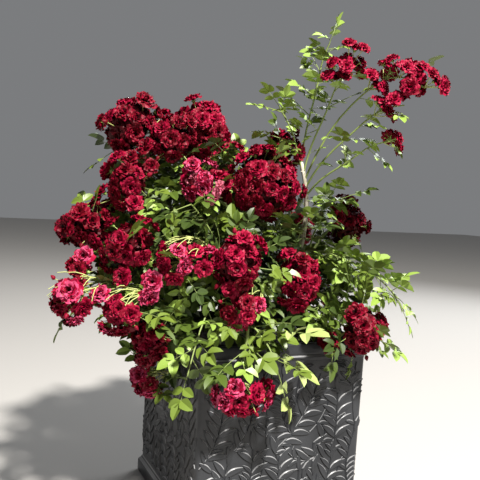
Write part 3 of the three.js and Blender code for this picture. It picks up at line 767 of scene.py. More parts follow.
def claim_solids(limbs, masses):
    """What the solids fill, in the finer room."""
    for row in CANES:
        fine_room.claim_limb(limbs[row[0]], row[6], LIMB_OWNER)
    for mass in masses:
        fine_room.claim_limb(mass.stalk, STALK_RADIUS, LIMB_OWNER)
        if mass.hub is not None and not mass.open:
            heart = mass.heart_room()
            fine_room.claim(heart._replace(radius=heart.radius * 0.8), BLOOM_OWNER)
        for middle, axis, radius, _ in mass.blooms:
            bloom_places.add(middle, radius)
            fine_room.claim(round_room(middle, axis, radius * 0.85), BLOOM_OWNER)
        for root, tip, _ in mass.leaves:
            fine_room.claim(Line(mixed(root, tip, 0.35), tip, FINE_LEAF_RADIUS, True), LEAF_OWNER)


def spray_tint(place, random):
    """The leaf tint of one spray: darker inside the bush as painted shade, and mixed by chance further
    out.
    """
    depth = norm((place - HEART) / BUSH_SHAPE)
    chance = random()
    tints = INNER_TINTS if depth < DEEP_INSIDE else OUTER_TINTS
    return next(tint for limit, tint in tints if chance < limit)


def dress_limb(foliage, limb, leafy, seed, reach):
    """Fine twigs round a limb, by the golden turn, drawn outwards and up towards the light."""
    start, end, count = leafy
    random = RepeatableStream(seed)
    for i in range(count):
        share = start + (end - start) * (i + 0.2 + 0.6 * random()) / count
        root = limb.at(share)
        heading = limb.heading(share)
        outward = (root - HEART) * (1, 1, 0.3)
        outward = outward / (norm(outward) + 1)
        for attempt in range(6):
            turn = (i + attempt * 0.31) * GOLDEN_TURN + seed
            direction = leaning(heading, 0.7 + 0.5 * random(), turn)
            direction = unit(direction + outward * 0.35 + UP * 0.15)
            length = reach * (0.55 + 0.6 * random()) * (1 - 0.09 * attempt)
            tint = spray_tint(root + direction * length, random)
            if foliage.add_leafy_twig(root, direction, length, tint, random):
                break


def dress_stalk(foliage, mass):
    """Leaves along a stalk, smaller on the high shoots."""
    random = RepeatableStream(mass.number + FINE_STALK_SEED)
    is_high = mass.hub is None and mass.stalk.at(1)[2] > HIGH_STALK
    size = HIGH_STALK_LEAF if is_high else STALK_LEAF
    mix = LEAF_MIXES.get(mass.tint)
    for i in range(mass.fine_leaves):
        share = 0.1 + 0.85 * (i + 0.6 * random()) / mass.fine_leaves
        root = mass.stalk.at(share)
        tint = mix[i % len(mix)] if mix else spray_tint(root, random)
        for attempt in range(5):
            turn = (i + attempt * 0.37) * GOLDEN_TURN + mass.number
            direction = leaning(mass.stalk.heading(share), 0.8 + 0.5 * random(), turn)
            if foliage.add_leaf(root, direction, size + 24 * random(), tint):
                break


def add_collar(foliage, mass):
    """Leaves that stand out round a truss from behind its blooms, each on a twig from its hub."""
    random = RepeatableStream(mass.number + COLLAR_SEED)
    for i in range(mass.collar):
        for attempt in range(4):
            turn = (i + 0.4 * attempt) * 2 * pi / mass.collar + mass.number
            axis = leaning(mass.look, 1.75 + 0.6 * random(), turn)
            root = mass.centre + axis * mass.reach(axis) * 0.95
            direction = unit(axis + mass.look * 0.3 + UP * 0.15)
            if foliage.add_leaf(root, direction, 50 + 26 * random(), spray_tint(root, random)):
                foliage.add_twig(mass.hub, mixed(mass.hub, root, 0.6), root, 1.2)
                break


def lump(axis, seed):
    """How far a truss swells beyond its plain dome in one direction."""
    return 10 * sin(3.4 * axis[0] + seed) + 9 * sin(3.8 * axis[2] + 2.1 * axis[1] + 2 * seed)


def add_lobe(foliage, mass, random):
    """Blooms of a truss that trail away to one side of it."""
    offset, wide = LOBES[mass.name]
    for axis in dome_directions(mass.look, 2.0, LOBE_BLOOMS, mass.number + 6):
        radius = BLOOM_RADIUS * (0.7 + 0.3 * random())
        middle = mass.centre + point(offset) + axis * (wide - 0.6 * radius)
        foliage.add_bloom(middle, axis, radius, random.choose(BLOOM_TINTS[mass.tint]))


def is_behind_fan(mass, axis):
    """Whether a direction lies on the side where a truss's pedicels show: up, and in to the bush."""
    return mass.hangs and not mass.open and axis @ fan_side(mass) > FAN_OPENING


def fan_side(mass):
    return unit(unit((HEART - mass.centre) * (1, 0.25, 0)) + UP * 0.6)


def add_fan(foliage, mass):
    """Pale pedicels that spread over the upper side of a truss whose blooms hang from them."""
    inward = fan_side(mass) * (1, 1, 0) * mass.wide * 2.3
    origin = mass.centre + inward + UP * mass.tall * 0.7 + mass.look * 30
    root = mass.stalk.at(0.3)
    foliage.add_twig(root, mixed(root, origin, 0.5) + UP * 14, origin, 2.2, "pale")
    for arm in range(FAN_ARMS):
        axis = leaning(mass.look, 1.2, arm * GOLDEN_TURN + mass.number)
        fork = mixed(origin, mass.centre + axis * mass.reach(axis), 0.5) + UP * 10
        foliage.add_twig(origin, mixed(origin, fork, 0.5) + UP * 6, fork, 1.5, "pale")
        for i in range(FAN_PEDICELS):
            spread = leaning(axis, 0.5, i * GOLDEN_TURN + arm)
            tip = mass.centre + spread * mass.reach(spread) * 1.02
            if tip[2] > mass.centre[2] - mass.tall * 0.1:
                foliage.add_twig(fork, mixed(fork, tip, 0.55) + UP * 8, tip, 1.1, "pale")


def keep_solid_blooms(foliage, mass, random):
    """A fine rose in place of each of the solids' ones, small where pedicels show instead."""
    for middle, axis, radius, _ in mass.blooms:
        tint = random.choose(BLOOM_TINTS[mass.tint])
        small = is_behind_fan(mass, axis) or mass.hangs and axis @ mass.look < -0.1
        foliage.blooms.append(Bloom(middle, axis, radius * (0.6 if small else 0.93), tint))


def close_up(foliage, mass, random):
    """Blooms of several sizes between the solids' ones, and leaves in the hollows."""
    fan = OPEN_TRUSS_FAN if mass.open else HANGING_FAN if mass.hangs else FULL_FAN
    for axis in dome_directions(mass.look, fan, GAP_LEAVES, mass.number + 4):
        if lump(axis, mass.number) < GAP_DEPTH:
            root = mass.centre + axis * (mass.reach(axis) - 30)
            foliage.add_leaf(root, unit(axis + UP * 0.25), 52 + 16 * random(), "green")
    is_bright = mass.tint == "bright"
    for axis in dome_directions(mass.look, fan, int(mass.wide * mass.tall / 26), mass.number):
        swell = lump(axis, mass.number)
        if swell < GAP_DEPTH or is_behind_fan(mass, axis):
            continue
        radius = BLOOM_RADIUS * (0.74 + 0.42 * random() ** 2) * (1.15 if is_bright else 1)
        inset = radius * 1.1 * random() ** 2
        middle = mass.centre + axis * (mass.reach(axis) + swell - inset)
        tint = random.choose(BLOOM_TINTS[mass.tint])
        # On the bright truss, blooms that face upwards take the bright tint and the rest the deep one, as
        # painted light and shade
        if is_bright:
            tint = "bright" if axis[2] > 0.05 else "deep"
        foliage.add_bloom(middle, axis, radius, tint)


def dress_truss(foliage, mass):
    """A truss closed up with blooms between the solids' ones, each on a pedicel from its hub."""
    random = RepeatableStream(mass.number + FINE_TRUSS_SEED)
    first = len(foliage.blooms)
    keep_solid_blooms(foliage, mass, random)
    close_up(foliage, mass, random)
    if mass.name in LOBES:
        add_lobe(foliage, mass, random)
    for middle, axis, radius, _, _ in foliage.blooms[first:]:
        if norm(middle - mass.centre) < mass.wide + mass.tall:
            foliage.add_pedicel(mass.hub, middle, axis, radius)
    if mass.hangs and not mass.open:
        add_fan(foliage, mass)
    if not mass.hangs:
        for axis in dome_directions(mass.look, 2.6, INNER_BLOOMS, mass.number):
            middle = mass.centre + axis * (mass.reach(axis) - 24)
            foliage.blooms.append(Bloom(middle, axis, BLOOM_RADIUS * 1.05, "shade", "inner"))
    for axis in dome_directions(mass.look, 1.9, BUDS, mass.number + 2):
        middle = mass.centre + axis * mass.reach(axis)
        if within_reach(middle + axis * 8) and not hits_planter(round_room(middle, axis, 6)):
            radius = 3.4 + 1.6 * random()
            foliage.blooms.append(Bloom(middle, axis, radius, BLOOM_TINTS[mass.tint][0], "bud"))
            foliage.add_pedicel(mass.hub, middle, axis, radius)


def dress_shoot(foliage, mass):
    """Each of a shoot's blooms on its pedicel, with smaller ones beside it."""
    random = RepeatableStream(mass.number + FINE_SHOOT_SEED)
    tints = BLOOM_TINTS["shoot"]
    for middle, axis, radius, root in mass.blooms:
        foliage.add_pedicel(root, middle, axis, radius)
        foliage.blooms.append(Bloom(middle, axis, radius, random.choose(tints)))
        for i in range(BESIDE_BLOOMS):
            beside = leaning(axis, 1.2 + 0.5 * random(), i * 1.6 + mass.number)
            small = radius * (0.7 + 0.25 * random())
            place = middle + beside * (radius + small) * 0.8
            facing = unit(axis + beside * 0.6)
            if foliage.add_bloom(place, facing, small, random.choose(tints)):
                foliage.add_pedicel(root, place, facing, small)


def bridge_trusses(foliage, one, other):
    """Blooms that join two trusses standing close together into one mass."""
    between = other.centre - one.centre
    apart = norm(between)
    if apart > one.wide + other.wide + BRIDGE_GAP:
        return
    random = RepeatableStream(one.number * 40 + other.number)
    look = unit(one.look + other.look)
    for i in range(BRIDGE_BLOOMS):
        share = 0.3 + 0.4 * random()
        out = leaning(between / apart, pi / 2, i * GOLDEN_TURN)
        if out @ look < -0.2:
            continue
        aside = out * min(one.wide, other.wide) * (0.35 + 0.45 * random())
        middle = one.centre + between * share + aside
        axis = unit(out + look * 0.5)
        tint = BLOOM_TINTS[one.tint if random() < 0.5 else other.tint][0]
        if foliage.add_bloom(middle, axis, BLOOM_RADIUS * (0.7 + 0.3 * random()), tint):
            foliage.add_pedicel(one.hub, middle, axis, BLOOM_RADIUS)


def carry_over(foliage, mass):
    """The leaves, twigs and stalk that the solids have, made fine."""
    foliage.nodes.append(mass.name)
    mix = LEAF_MIXES.get(mass.tint, LEAF_MIXES["green"])
    for index, (root, tip, upper) in enumerate(mass.leaves):
        large_tip = mixed(root, tip, mass.leaf_scale)
        blade = (large_tip if within_reach(large_tip) else tip) - root
        foliage.leaves.append(Leaf(root, unit(blade), norm(blade), upper, mix[index % len(mix)]))
    for root, tip in mass.twigs:
        foliage.add_twig(root, mixed(root, tip, 0.5), tip, TWIG_RADIUS)
    foliage.add_twig(*mass.stalk.curve, STALK_RADIUS * (0.62 if mass.hub is None else 0.8))


# Where the regions of the bush meet
TOP_FROM = 650
BACK_FROM = 20
TOP_LEFT_TO = -90
LEFT_TO = -200


def region_of(place):
    """The part of the bush that a place lies in, for its joined pieces."""
    x, y, z = place
    if z > TOP_FROM:
        if y > BACK_FROM:
            return "top_back"
        return "top_left" if x < TOP_LEFT_TO else "top_right"
    if y > BACK_FROM:
        return "back"
    return "left" if x < LEFT_TO else "front"


def grow_foliage(limbs, masses):
    claim_solids(limbs, masses)
    regions = {}
    home = {mass: region_of(mass.stalk.at(1)) for mass in masses}
    for mass in masses:
        foliage = regions.setdefault(home[mass], Foliage())
        carry_over(foliage, mass)
        if mass.hub is not None:
            dress_truss(foliage, mass)
        elif mass.bloom_count > 0:
            dress_shoot(foliage, mass)
    trusses = [mass for mass in masses if mass.hub is not None]
    for index, one in enumerate(trusses):
        for other in trusses[index + 1:]:
            bridge_trusses(regions[home[one]], one, other)
    for mass in masses:
        dress_stalk(regions[home[mass]], mass)
        if mass.hub is not None:
            add_collar(regions[home[mass]], mass)
    for index, (name, *_, leafy) in enumerate(CANES):
        limb = limbs[name]
        if name != "cane_old":
            inner = regions[region_of(limb.at(0.5))]
            dress_limb(inner, limb, INNER_TWIGS, INNER_TWIG_SEED + index, INNER_REACH)
        outer = regions[region_of(limb.at(0.8))]
        dress_limb(outer, limb, leafy, OUTER_TWIG_SEED + index, OUTER_REACH)
    return regions


# Materials
def new_material(name, roughness, specular):
    material = bpy.data.materials.new(name)
    material.use_nodes = True
    shader = material.node_tree.nodes["Principled BSDF"]
    shader.inputs["Roughness"].default_value = roughness
    shader.inputs["Specular IOR Level"].default_value = specular
    return material, shader


def plain_material(name, colour, roughness, specular=0.5):
    material, shader = new_material(name, roughness, specular)
    shader.inputs["Base Color"].default_value = (*colour, 1)
    return material


def tinted_materials(kind, tints, roughness, specular=0.5):
    return [plain_material(kind + name, tint, roughness, specular) for name, tint in tints.items()]


def add_noise(tree, scale, detail, stretch=(1, 1, 1)):
    """A noise over the piece's own space."""
    place = tree.nodes.new("ShaderNodeTexCoord")
    mapping = tree.nodes.new("ShaderNodeMapping")
    mapping.inputs["Scale"].default_value = stretch
    noise = tree.nodes.new("ShaderNodeTexNoise")
    noise.inputs["Scale"].default_value = scale
    noise.inputs["Detail"].default_value = detail
    tree.links.new(place.outputs["Object"], mapping.inputs["Vector"])
    tree.links.new(mapping.outputs["Vector"], noise.inputs["Vector"])
    return noise.outputs["Fac"]


def mottled_material(name, stops, mottle, bump, roughness, specular=0.5, grain=None):
    """Colours mixed by a noise, and a bump from the same noise or from a grain of its own."""
    material, shader = new_material(name, roughness, specular)
    tree = material.node_tree
    noise = add_noise(tree, *mottle)
    ramp = tree.nodes.new("ShaderNodeValToRGB")
    elements = ramp.color_ramp.elements
    while len(elements) < len(stops):
        elements.new(0.5)
    for element, (position, colour) in zip(elements, stops):
        element.position = position
        element.color = (*colour, 1)
    relief = tree.nodes.new("ShaderNodeBump")
    relief.inputs["Strength"].default_value = bump[0]
    relief.inputs["Distance"].default_value = bump[1]
    tree.links.new(noise, ramp.inputs["Fac"])
    tree.links.new(ramp.outputs["Color"], shader.inputs["Base Color"])
    tree.links.new(add_noise(tree, *grain) if grain else noise, relief.inputs["Height"])
    tree.links.new(relief.outputs["Normal"], shader.inputs["Normal"])
    return material


def resin_material(name, dark, light, roughness):
    """Resin mottled with dust, and with a fine grain."""
    stops = [(0.3, dark), (0.7, light)]
    return mottled_material(name, stops, (9, 6), (0.4, 0.0010), roughness, 0.3, (220, 4))


def bark_material(name, dark, middle, light):
    stops = [(0.32, dark), (0.5, middle), (0.7, light)]
    return mottled_material(name, stops, (60, 7, (3, 3, 0.6)), (0.5, 0.0012), 0.75)


def soil_material():
    stops = [
        (0.3, (0.006, 0.004, 0.003)),
        (0.55, (0.022, 0.014, 0.009)),
        (0.75, (0.06, 0.042, 0.028)),
    ]
    return mottled_material("compost", stops, (120, 8), (0.6, 0.002), 0.95)


# Meshes
def grid_faces(rows, columns, closed=False):
    """Triangles over a grid of points, its columns joined round where it is closed."""
    across = columns if closed else columns - 1
    row, column = np.meshgrid(np.arange(rows - 1), np.arange(across), indexing="ij")
    first = row * columns + column
    second = row * columns + (column + 1) % columns
    third = first + columns
    fourth = second + columns
    return stacked(first, second, fourth, first, fourth, third).reshape(-1, 3)


class Batch:
    """Triangles of one kind, gathered into one joined piece."""

    def __init__(self, materials):
        self.materials = materials
        self.points = []
        self.faces = []
        self.looks = []
        self.count = 0

    def add(self, points, faces, look=0):
        points = np.asarray(points).reshape(-1, 3)
        self.points.append(points)
        self.faces.append(faces + self.count)
        self.looks.append(np.broadcast_to(look, len(faces)))
        self.count += len(points)

    def add_tube(self, path, radii, sides, look=0):
        self.add(tube(path, radii, sides), grid_faces(len(path), sides, True), look)

    def add_capped_tube(self, rings, look_of=None):
        """A tube with a fan of triangles over each end."""
        count, sides = rings.shape[:2]
        ring = np.arange(sides)
        following = np.roll(ring, -1)
        far = (count - 1) * sides
        foot_cap = stacked(count * sides, following, ring)
        tip_cap = stacked(count * sides + 1, far + ring, far + following)
        middles = [rings[0].mean(axis=0), rings[-1].mean(axis=0)]
        points = np.concatenate((rings.reshape(-1, 3), middles))
        faces = np.concatenate((grid_faces(count, sides, True), foot_cap, tip_cap))
        self.add(points, faces, look_of(points, faces) if look_of else 0)

    def make(self, name, nodes):
        mesh = bpy.data.meshes.new(name)
        mesh.from_pydata(np.concatenate(self.points) * MM, [], np.concatenate(self.faces))
        for material in self.materials:
            mesh.materials.append(material)
        mesh.polygons.foreach_set("material_index", np.concatenate(self.looks).astype(np.int32))
        mesh.shade_smooth()
        piece = linked(name, mesh)
        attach(piece, "root")
        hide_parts(*nodes)
        return piece


def tube(path, radii, sides):
    """Rings of points round a path, turned as little as can be from one to the next."""
    headings = np.gradient(path, axis=0)
    turns = turns_round(sides)
    across = np.cross(unit(headings[0]), UP if abs(unit(headings[0])[2]) < 0.9 else RIGHT)
    rings = []
    for place, heading, radius in zip(path, headings, radii):
        heading = unit(heading)
        across = unit(across - heading * (across @ heading))
        ring = np.outer(np.cos(turns), across) + np.outer(np.sin(turns), np.cross(heading, across))
        rings.append(place + ring * np.reshape(radius, (-1, 1)))
    return np.array(rings)


GREEN_LOOK = 1
CALYX_LOOK = 2
TWIG_WAVE = 3.0
LONG_TWIG = 90
THICK_TWIG = 2


def add_twig(batch, curve, radius, look):
    """A twig that thins towards its tip, and waves a little where it is long."""
    span = curve[2] - curve[0]
    steps = 3 if norm(span) < LONG_TWIG else 10
    path = bend(*curve, steps)
    if steps > 3:
        waves = np.sin(np.linspace(0, 3.2 * pi, steps + 1)) * TWIG_WAVE
        path = path + waves[:, None] * unit(np.cross(span, RIGHT + UP * 0.3))
    radii = radius * np.linspace(1, 0.6, steps + 1)
    batch.add_tube(path, radii, 4 if radius < THICK_TWIG else 7, look)


# Roses: rings of ruffled petals round an axis
# petals, how far each leans from the axis at its foot and at its tip, length, width, tone: darkest in the
# middle ring as painted shade
PETAL_RINGS = [
    (9, 1.05, 1.8, 1.1, 0.8, 2),
    (9, 0.85, 1.45, 1.04, 0.74, 2),
    (9, 0.66, 1.15, 0.96, 0.64, 1),
    (8, 0.48, 0.9, 0.86, 0.56, 2),
    (7, 0.3, 0.65, 0.76, 0.46, 1),
    (5, 0.12, 0.45, 0.62, 0.4, 0),
]
INNER_RINGS = [(6, 0.8, 1.6, 1.2, 1.15, 2), (4, 0.3, 0.9, 0.95, 1.0, 1)]
PETAL_SHARES = np.array([0, 0.42, 0.8, 1])
PETAL_COLUMNS = 5
# The tone of the petals' tips where they are lightened as painted highlight, the share of petals so
# lightened, and the share lightened all over
EDGE_TONE = 3
EDGED_PETALS = 0.6
FLUSHED_PETALS = 0.14
ROSE_VARIANTS = 7
INNER_ROSE_SEED = 99
ROSES_SEED = 11


def petal_points(lean_in, lean_out, length, width, random):
    """One petal as a grid of points, leaning towards local X and standing along local Z."""
    along = PETAL_SHARES[:, None]
    steps = np.diff(along, axis=0, prepend=0) * length
    across = np.linspace(-1, 1, PETAL_COLUMNS)[None, :]
    leans = lean_in + (lean_out - lean_in) * along**1.4
    out = 0.06 + np.cumsum(np.sin(leans) * steps, axis=0)
    height = np.cumsum(np.cos(leans) * steps, axis=0)
    shortened = 1 - (0.2 * across**2 + 0.14 * random.random(PETAL_COLUMNS)) * along
    spread = width * 0.5 * np.sin(pi * (0.14 + 0.56 * along))
    ruffle = (random.random((len(PETAL_SHARES), PETAL_COLUMNS)) - 0.5) * 0.42 * along**1.5 * width
    cup = 0.3 * width * across**2 * (1 - 1.1 * along) + ruffle
    x = out * shortened - np.cos(leans) * cup
    y = spread * across
    z = height * shortened + np.sin(leans) * cup
    return stacked(x, y, z).reshape(-1, 3)


def rose_template(rings, seed):
    """A whole bloom of unit radius, with a tone for each face from the middle outwards: darker in the
    middle as painted shade, and the lightest tone on many petals' tips as painted highlight.
    """
    random = np.random.default_rng(seed)
    petal_faces = grid_faces(len(PETAL_SHARES), PETAL_COLUMNS)
    edge_faces = 2 * (PETAL_COLUMNS - 1)
    points, faces, tones = [], [], []
    for ring, (count, lean_in, lean_out, length, width, tone) in enumerate(rings):
        for i in range(count):
            wobble = random.normal(0, 1, 4) * (0.08, 0.16, 0.07, 0.08)
            leans = (lean_in + wobble[0], lean_out + wobble[1])
            petal = petal_points(*leans, length * (1 + wobble[2]), width * (1 + wobble[3]), random)
            angle = 2 * pi * (i + 0.5 * (ring % 2)) / count + 0.12 * random.normal() + ring
            faces.append(petal_faces + len(points) * len(petal))
            points.append(turned_about_z(petal, angle))
            petal_tones = np.full(len(petal_faces), tone)
            chance = random.random()
            if chance < EDGED_PETALS:
                petal_tones[-edge_faces:] = EDGE_TONE
            if chance < FLUSHED_PETALS:
                petal_tones[:] = EDGE_TONE
            tones.append(petal_tones)
    return np.concatenate(points) - (0, 0, 0.5), np.concatenate(faces), np.concatenate(tones)


def bud_template():
    """A pointed bud of furled petals, egg-shaped, of unit radius."""
    heights = np.array([-0.9, -0.5, 0.1, 0.7, 1.3, 1.75])[:, None]
    radii = np.array([0.35, 0.85, 1.0, 0.8, 0.45, 0.08])[:, None]
    turns = turns_round(8)
    furled = radii * (1 + 0.1 * np.sin(3 * turns + heights * 2))
    points = stacked(furled * np.cos(turns), furled * np.sin(turns), heights)
    return points.reshape(-1, 3), grid_faces(6, 8, True)


def calyx_template():
    """A green cup under a bloom with five pointed sepals spread from it, for a unit radius."""
    cup = tube(np.array([(0, 0, -0.86), (0, 0, -0.68), (0, 0, -0.5)]), (0.1, 0.22, 0.2), 6)
    points = [cup.reshape(-1, 3)]
    faces = [grid_faces(3, 6, True)]
    half_widths = ((0.14, 0.1, -0.56), (0.42, 0.08, -0.62), (0.72, 0.02, -0.52))
    sepal = point([(out, side * half, z) for out, half, z in half_widths for side in (-1, 1)])
    for i, turn in enumerate(turns_round(5)):
        faces.append(grid_faces(3, 2) + len(points[0]) + i * len(sepal))
        points.append(turned_about_z(sepal, turn))
    return np.concatenate(points), np.concatenate(faces)


def add_blooms(petals, twigs, blooms, seed):
    random = np.random.default_rng(seed)
    names = list(PETALS)
    roses = [rose_template(PETAL_RINGS, i) for i in range(ROSE_VARIANTS)]
    inner = rose_template(INNER_RINGS, INNER_ROSE_SEED)
    bud_points, bud_faces = bud_template()
    calyx_points, calyx_faces = calyx_template()
    for bloom in blooms:
        turned = frame_facing(bloom.axis, random.uniform(0, 2 * pi)).T * bloom.radius
        tones = np.array([names.index(tone) for tone in PETAL_TONES[bloom.tint]])
        if bloom.form == "bud":
            petals.add(bud_points @ turned + bloom.middle, bud_faces, tones[1])
            calyx = calyx_points * (1.5, 1.5, 1.3)
        else:
            is_rose = bloom.form == "rose"
            points, faces, tone = roses[random.integers(ROSE_VARIANTS)] if is_rose else inner
            petals.add(points @ turned + bloom.middle, faces, tones[tone])
            calyx = calyx_points
        if bloom.form != "inner":
            twigs.add(calyx @ turned + bloom.middle, calyx_faces, CALYX_LOOK)


# Leaves: leaflets along a rachis
LEAFLET_STATIONS = np.array([0, 0.1, 0.3, 0.55, 0.8, 1])
LEAFLET_WIDTHS = np.array([0.08, 0.62, 0.98, 0.98, 0.6, 0.02])
# share along the leaf, turn from it, length
LEAFLETS = [(0.6, 0, 0.42), (0.55, 1, 0.37), (0.55, -1, 0.37), (0.3, 1.2, 0.32), (0.3, -1.2, 0.32)]
LEAF_VARIANTS = 6
LEAVES_SEED = 31


def leaflet_points(length, width, fold, droop):
    """Two halves of a toothed blade along local Y, folded up from its midrib and drooping."""
    half = LEAFLET_WIDTHS * (1 + 0.06 * (-1) ** np.arange(len(LEAFLET_STATIONS))) * width / 2
    along = LEAFLET_STATIONS * length
    sag = -droop * length * LEAFLET_STATIONS**2
    left = stacked(-half, along + half * 0.15, sag + fold * half)
    middle = stacked(0, along, sag)
    return np.stack((left, middle, middle, left * (-1, 1, 1)), axis=1).reshape(-1, 3)


def leaf_template(seed):
    """A compound leaf of unit length: its blades, and the stalk that they stand on."""
    random = np.random.default_rng(seed)
    # The midrib's points are double, so that the fold is crisp, and the strip between them goes
    halves = grid_faces(len(LEAFLET_STATIONS), 4).reshape(-1, 3, 2, 3)[:, (0, 2)].reshape(-1, 3)
    droop = 0.1 + 0.14 * random.random()
    points, faces = [], []
    for share, turn, length in LEAFLETS:
        size = length * random.uniform(0.9, 1.12)
        fold = random.uniform(0.12, 0.6)
        width = size * random.uniform(0.56, 0.68)
        blade = leaflet_points(size, width, fold, random.uniform(0.05, 0.3))
        blade[:, 2] += blade[:, 0] * random.uniform(-0.3, 0.3)
        blade = turned_about_z(blade, -turn + random.normal(0, 0.1))
        faces.append(halves + len(points) * len(blade))
        points.append(blade + (0, share, -droop * share**2))
    shares = np.linspace(0, 0.58, 4)
    path = stacked(0, shares, -droop * shares**2)
    rachis = tube(path, np.linspace(0.014, 0.008, 4), 3)
    return np.concatenate(points), np.concatenate(faces), rachis, grid_faces(4, 3, True)


def add_leaves(blades, twigs, leaves, seed):
    random = np.random.default_rng(seed)
    names = list(LEAF_TINTS)
    templates = [leaf_template(i) for i in range(LEAF_VARIANTS)]
    for leaf in leaves:
        points, faces, rachis, rachis_faces = templates[random.integers(LEAF_VARIANTS)]
        upper = unit(leaf.upper + random.normal(0, 0.26, 3))
        turned = frame_along(leaf.direction, upper).T * leaf.length
        blades.add(points @ turned + leaf.root, faces, names.index(leaf.tint))
        twigs.add(rachis @ turned + leaf.root, rachis_faces, GREEN_LOOK)


def make_foliage(regions):
    petal_looks = tinted_materials("petal_", PETALS, 0.5, 0.16)
    leaf_looks = tinted_materials("leaf_", LEAF_TINTS, 0.4, 0.4)
    twig_looks = tinted_materials("twig_", TWIG_TINTS, 0.6)
    twig_looks.append(plain_material("calyx", CALYX_GREEN, 0.55))
    for index, (region, foliage) in enumerate(sorted(regions.items())):
        petals = Batch(petal_looks)
        blades = Batch(leaf_looks)
        twigs = Batch(twig_looks)
        for curve, radius, tint in foliage.twigs:
            add_twig(twigs, curve, radius, list(TWIG_TINTS).index(tint))
        add_blooms(petals, twigs, foliage.blooms, ROSES_SEED + index)
        add_leaves(blades, twigs, foliage.leaves, LEAVES_SEED + index)
        petals.make("roses_" + region, foliage.nodes)
        blades.make("leaves_" + region, foliage.nodes)
        twigs.make("twigs_" + region, foliage.nodes)


# Canes, boughs and stem: bark with ridges, nodes and thorns
BARK_SIDES = 12
BARK_SPACING = 5
BARK_NODE_SPACING = 42
THORN_SPACING = 26
THORN_RADII = (1.7, 1.1, 0.6, 0.12)
THORN_SEED = 50
STEM_SEED = 5
STEM_SIDES = 28
# share of the stem's radius, share of its height
STEM_PROFILE = [
    (1.0, 0), (1.03, 0.12), (0.97, 0.3), (0.9, 0.5), (0.8, 0.68), (0.62, 0.85), (0.4, 0.96), (0.12, 1),
]


def bark_radii(count, foot, seed):
    """Radii round each ring of a limb: a taper, shallow ridges along it and swollen nodes."""
    random = np.random.default_rng(seed)
    shares = np.linspace(0, 1, count)[:, None]
    turns = turns_round(BARK_SIDES)
    taper = foot + (foot * CANE_TIP_SHARE - foot) * shares
    ridges = 0.07 * np.sin(3 * turns + 5 * shares + seed) + 0.04 * np.sin(5 * turns - 9 * shares)
    from_node = shares * count * BARK_SPACING % BARK_NODE_SPACING - BARK_NODE_SPACING / 2
    nodes = 0.16 * np.exp(-((from_node / 4.5) ** 2))
    return taper * (1 + ridges + nodes + random.normal(0, 0.025, (count, BARK_SIDES)))


def add_thorns(batch, limb, radius, seed):
    random = np.random.default_rng(seed)
    for i in range(int(limb.length / THORN_SPACING)):
        share = 0.15 + 0.8 * random.random()
        outward = leaning(limb.heading(share), 1.35, i * GOLDEN_TURN)
        root = limb.at(share) + outward * radius * 0.55
        length = random.uniform(4, 6.5)
        path = bend(root, root + outward * length * 0.6, root + outward * length - UP * 1.8, 3)
        batch.add_tube(path, THORN_RADII, 5)


def make_canes(limbs, green_bark, pale_bark):
    for index, (name, _, _, _, _, _, radius, _) in enumerate(CANES):
        limb = limbs[name]
        path = bend(*limb.curve, max(3, round(limb.length / BARK_SPACING)))
        batch = Batch([pale_bark if name == "cane_old" else green_bark])
        batch.add_capped_tube(tube(path, bark_radii(len(path), radius, index), BARK_SIDES))
        add_thorns(batch, limb, radius, THORN_SEED + index)
        batch.make(name + "_bark", [name])


def make_stem(material):
    """The short woody stem, knobbly where old canes were cut away."""
    random = np.random.default_rng(STEM_SEED)
    turns = turns_round(STEM_SIDES)
    rings = []
    for share, height in STEM_PROFILE:
        knobs = 1 + 0.05 * np.sin(4 * turns + height * 3) + 0.04 * np.sin(7 * turns - height * 5)
        radius = STEM_RADIUS * 0.95 * share * (knobs + random.normal(0, 0.012, STEM_SIDES))
        level = STEM_FOOT + STEM_HEIGHT * height
        rings.append(stacked(radius * np.cos(turns), radius * np.sin(turns), level))
    batch = Batch([material])
    batch.add_capped_tube(np.array(rings))
    batch.make("stem_bark", ["stem"])


# Planter
# Faces of the planter's ledges and of its relief's outer edges that look up by more than this take a
# lighter resin as painted highlight; relief edges that look down as much take a near-black resin as
# painted shade
PAINTED_LIGHT_LIFT = 0.35
HIGHLIGHT_LOOK = 1
PAINTED_SHADE_LOOK = 2
CORNER_STEPS = 6


def square_ring(width, z):
    """A square with round corners, as points at one height."""
    points = []
    for quarter in range(4):
        x = (1 if quarter in (0, 3) else -1) * (width / 2 - PLANTER_CORNER)
        y = (1 if quarter < 2 else -1) * (width / 2 - PLANTER_CORNER)
        for step in range(CORNER_STEPS + 1):
            angle = (quarter + step / CORNER_STEPS) * pi / 2
            points.append((x + PLANTER_CORNER * cos(angle), y + PLANTER_CORNER * sin(angle), z))
    return points


def panel_width(z):
    return PLANTER_WIDTH - 2 * RIM_STEP - PLANTER_TAPER * (1 - z / PLANTER_HEIGHT)


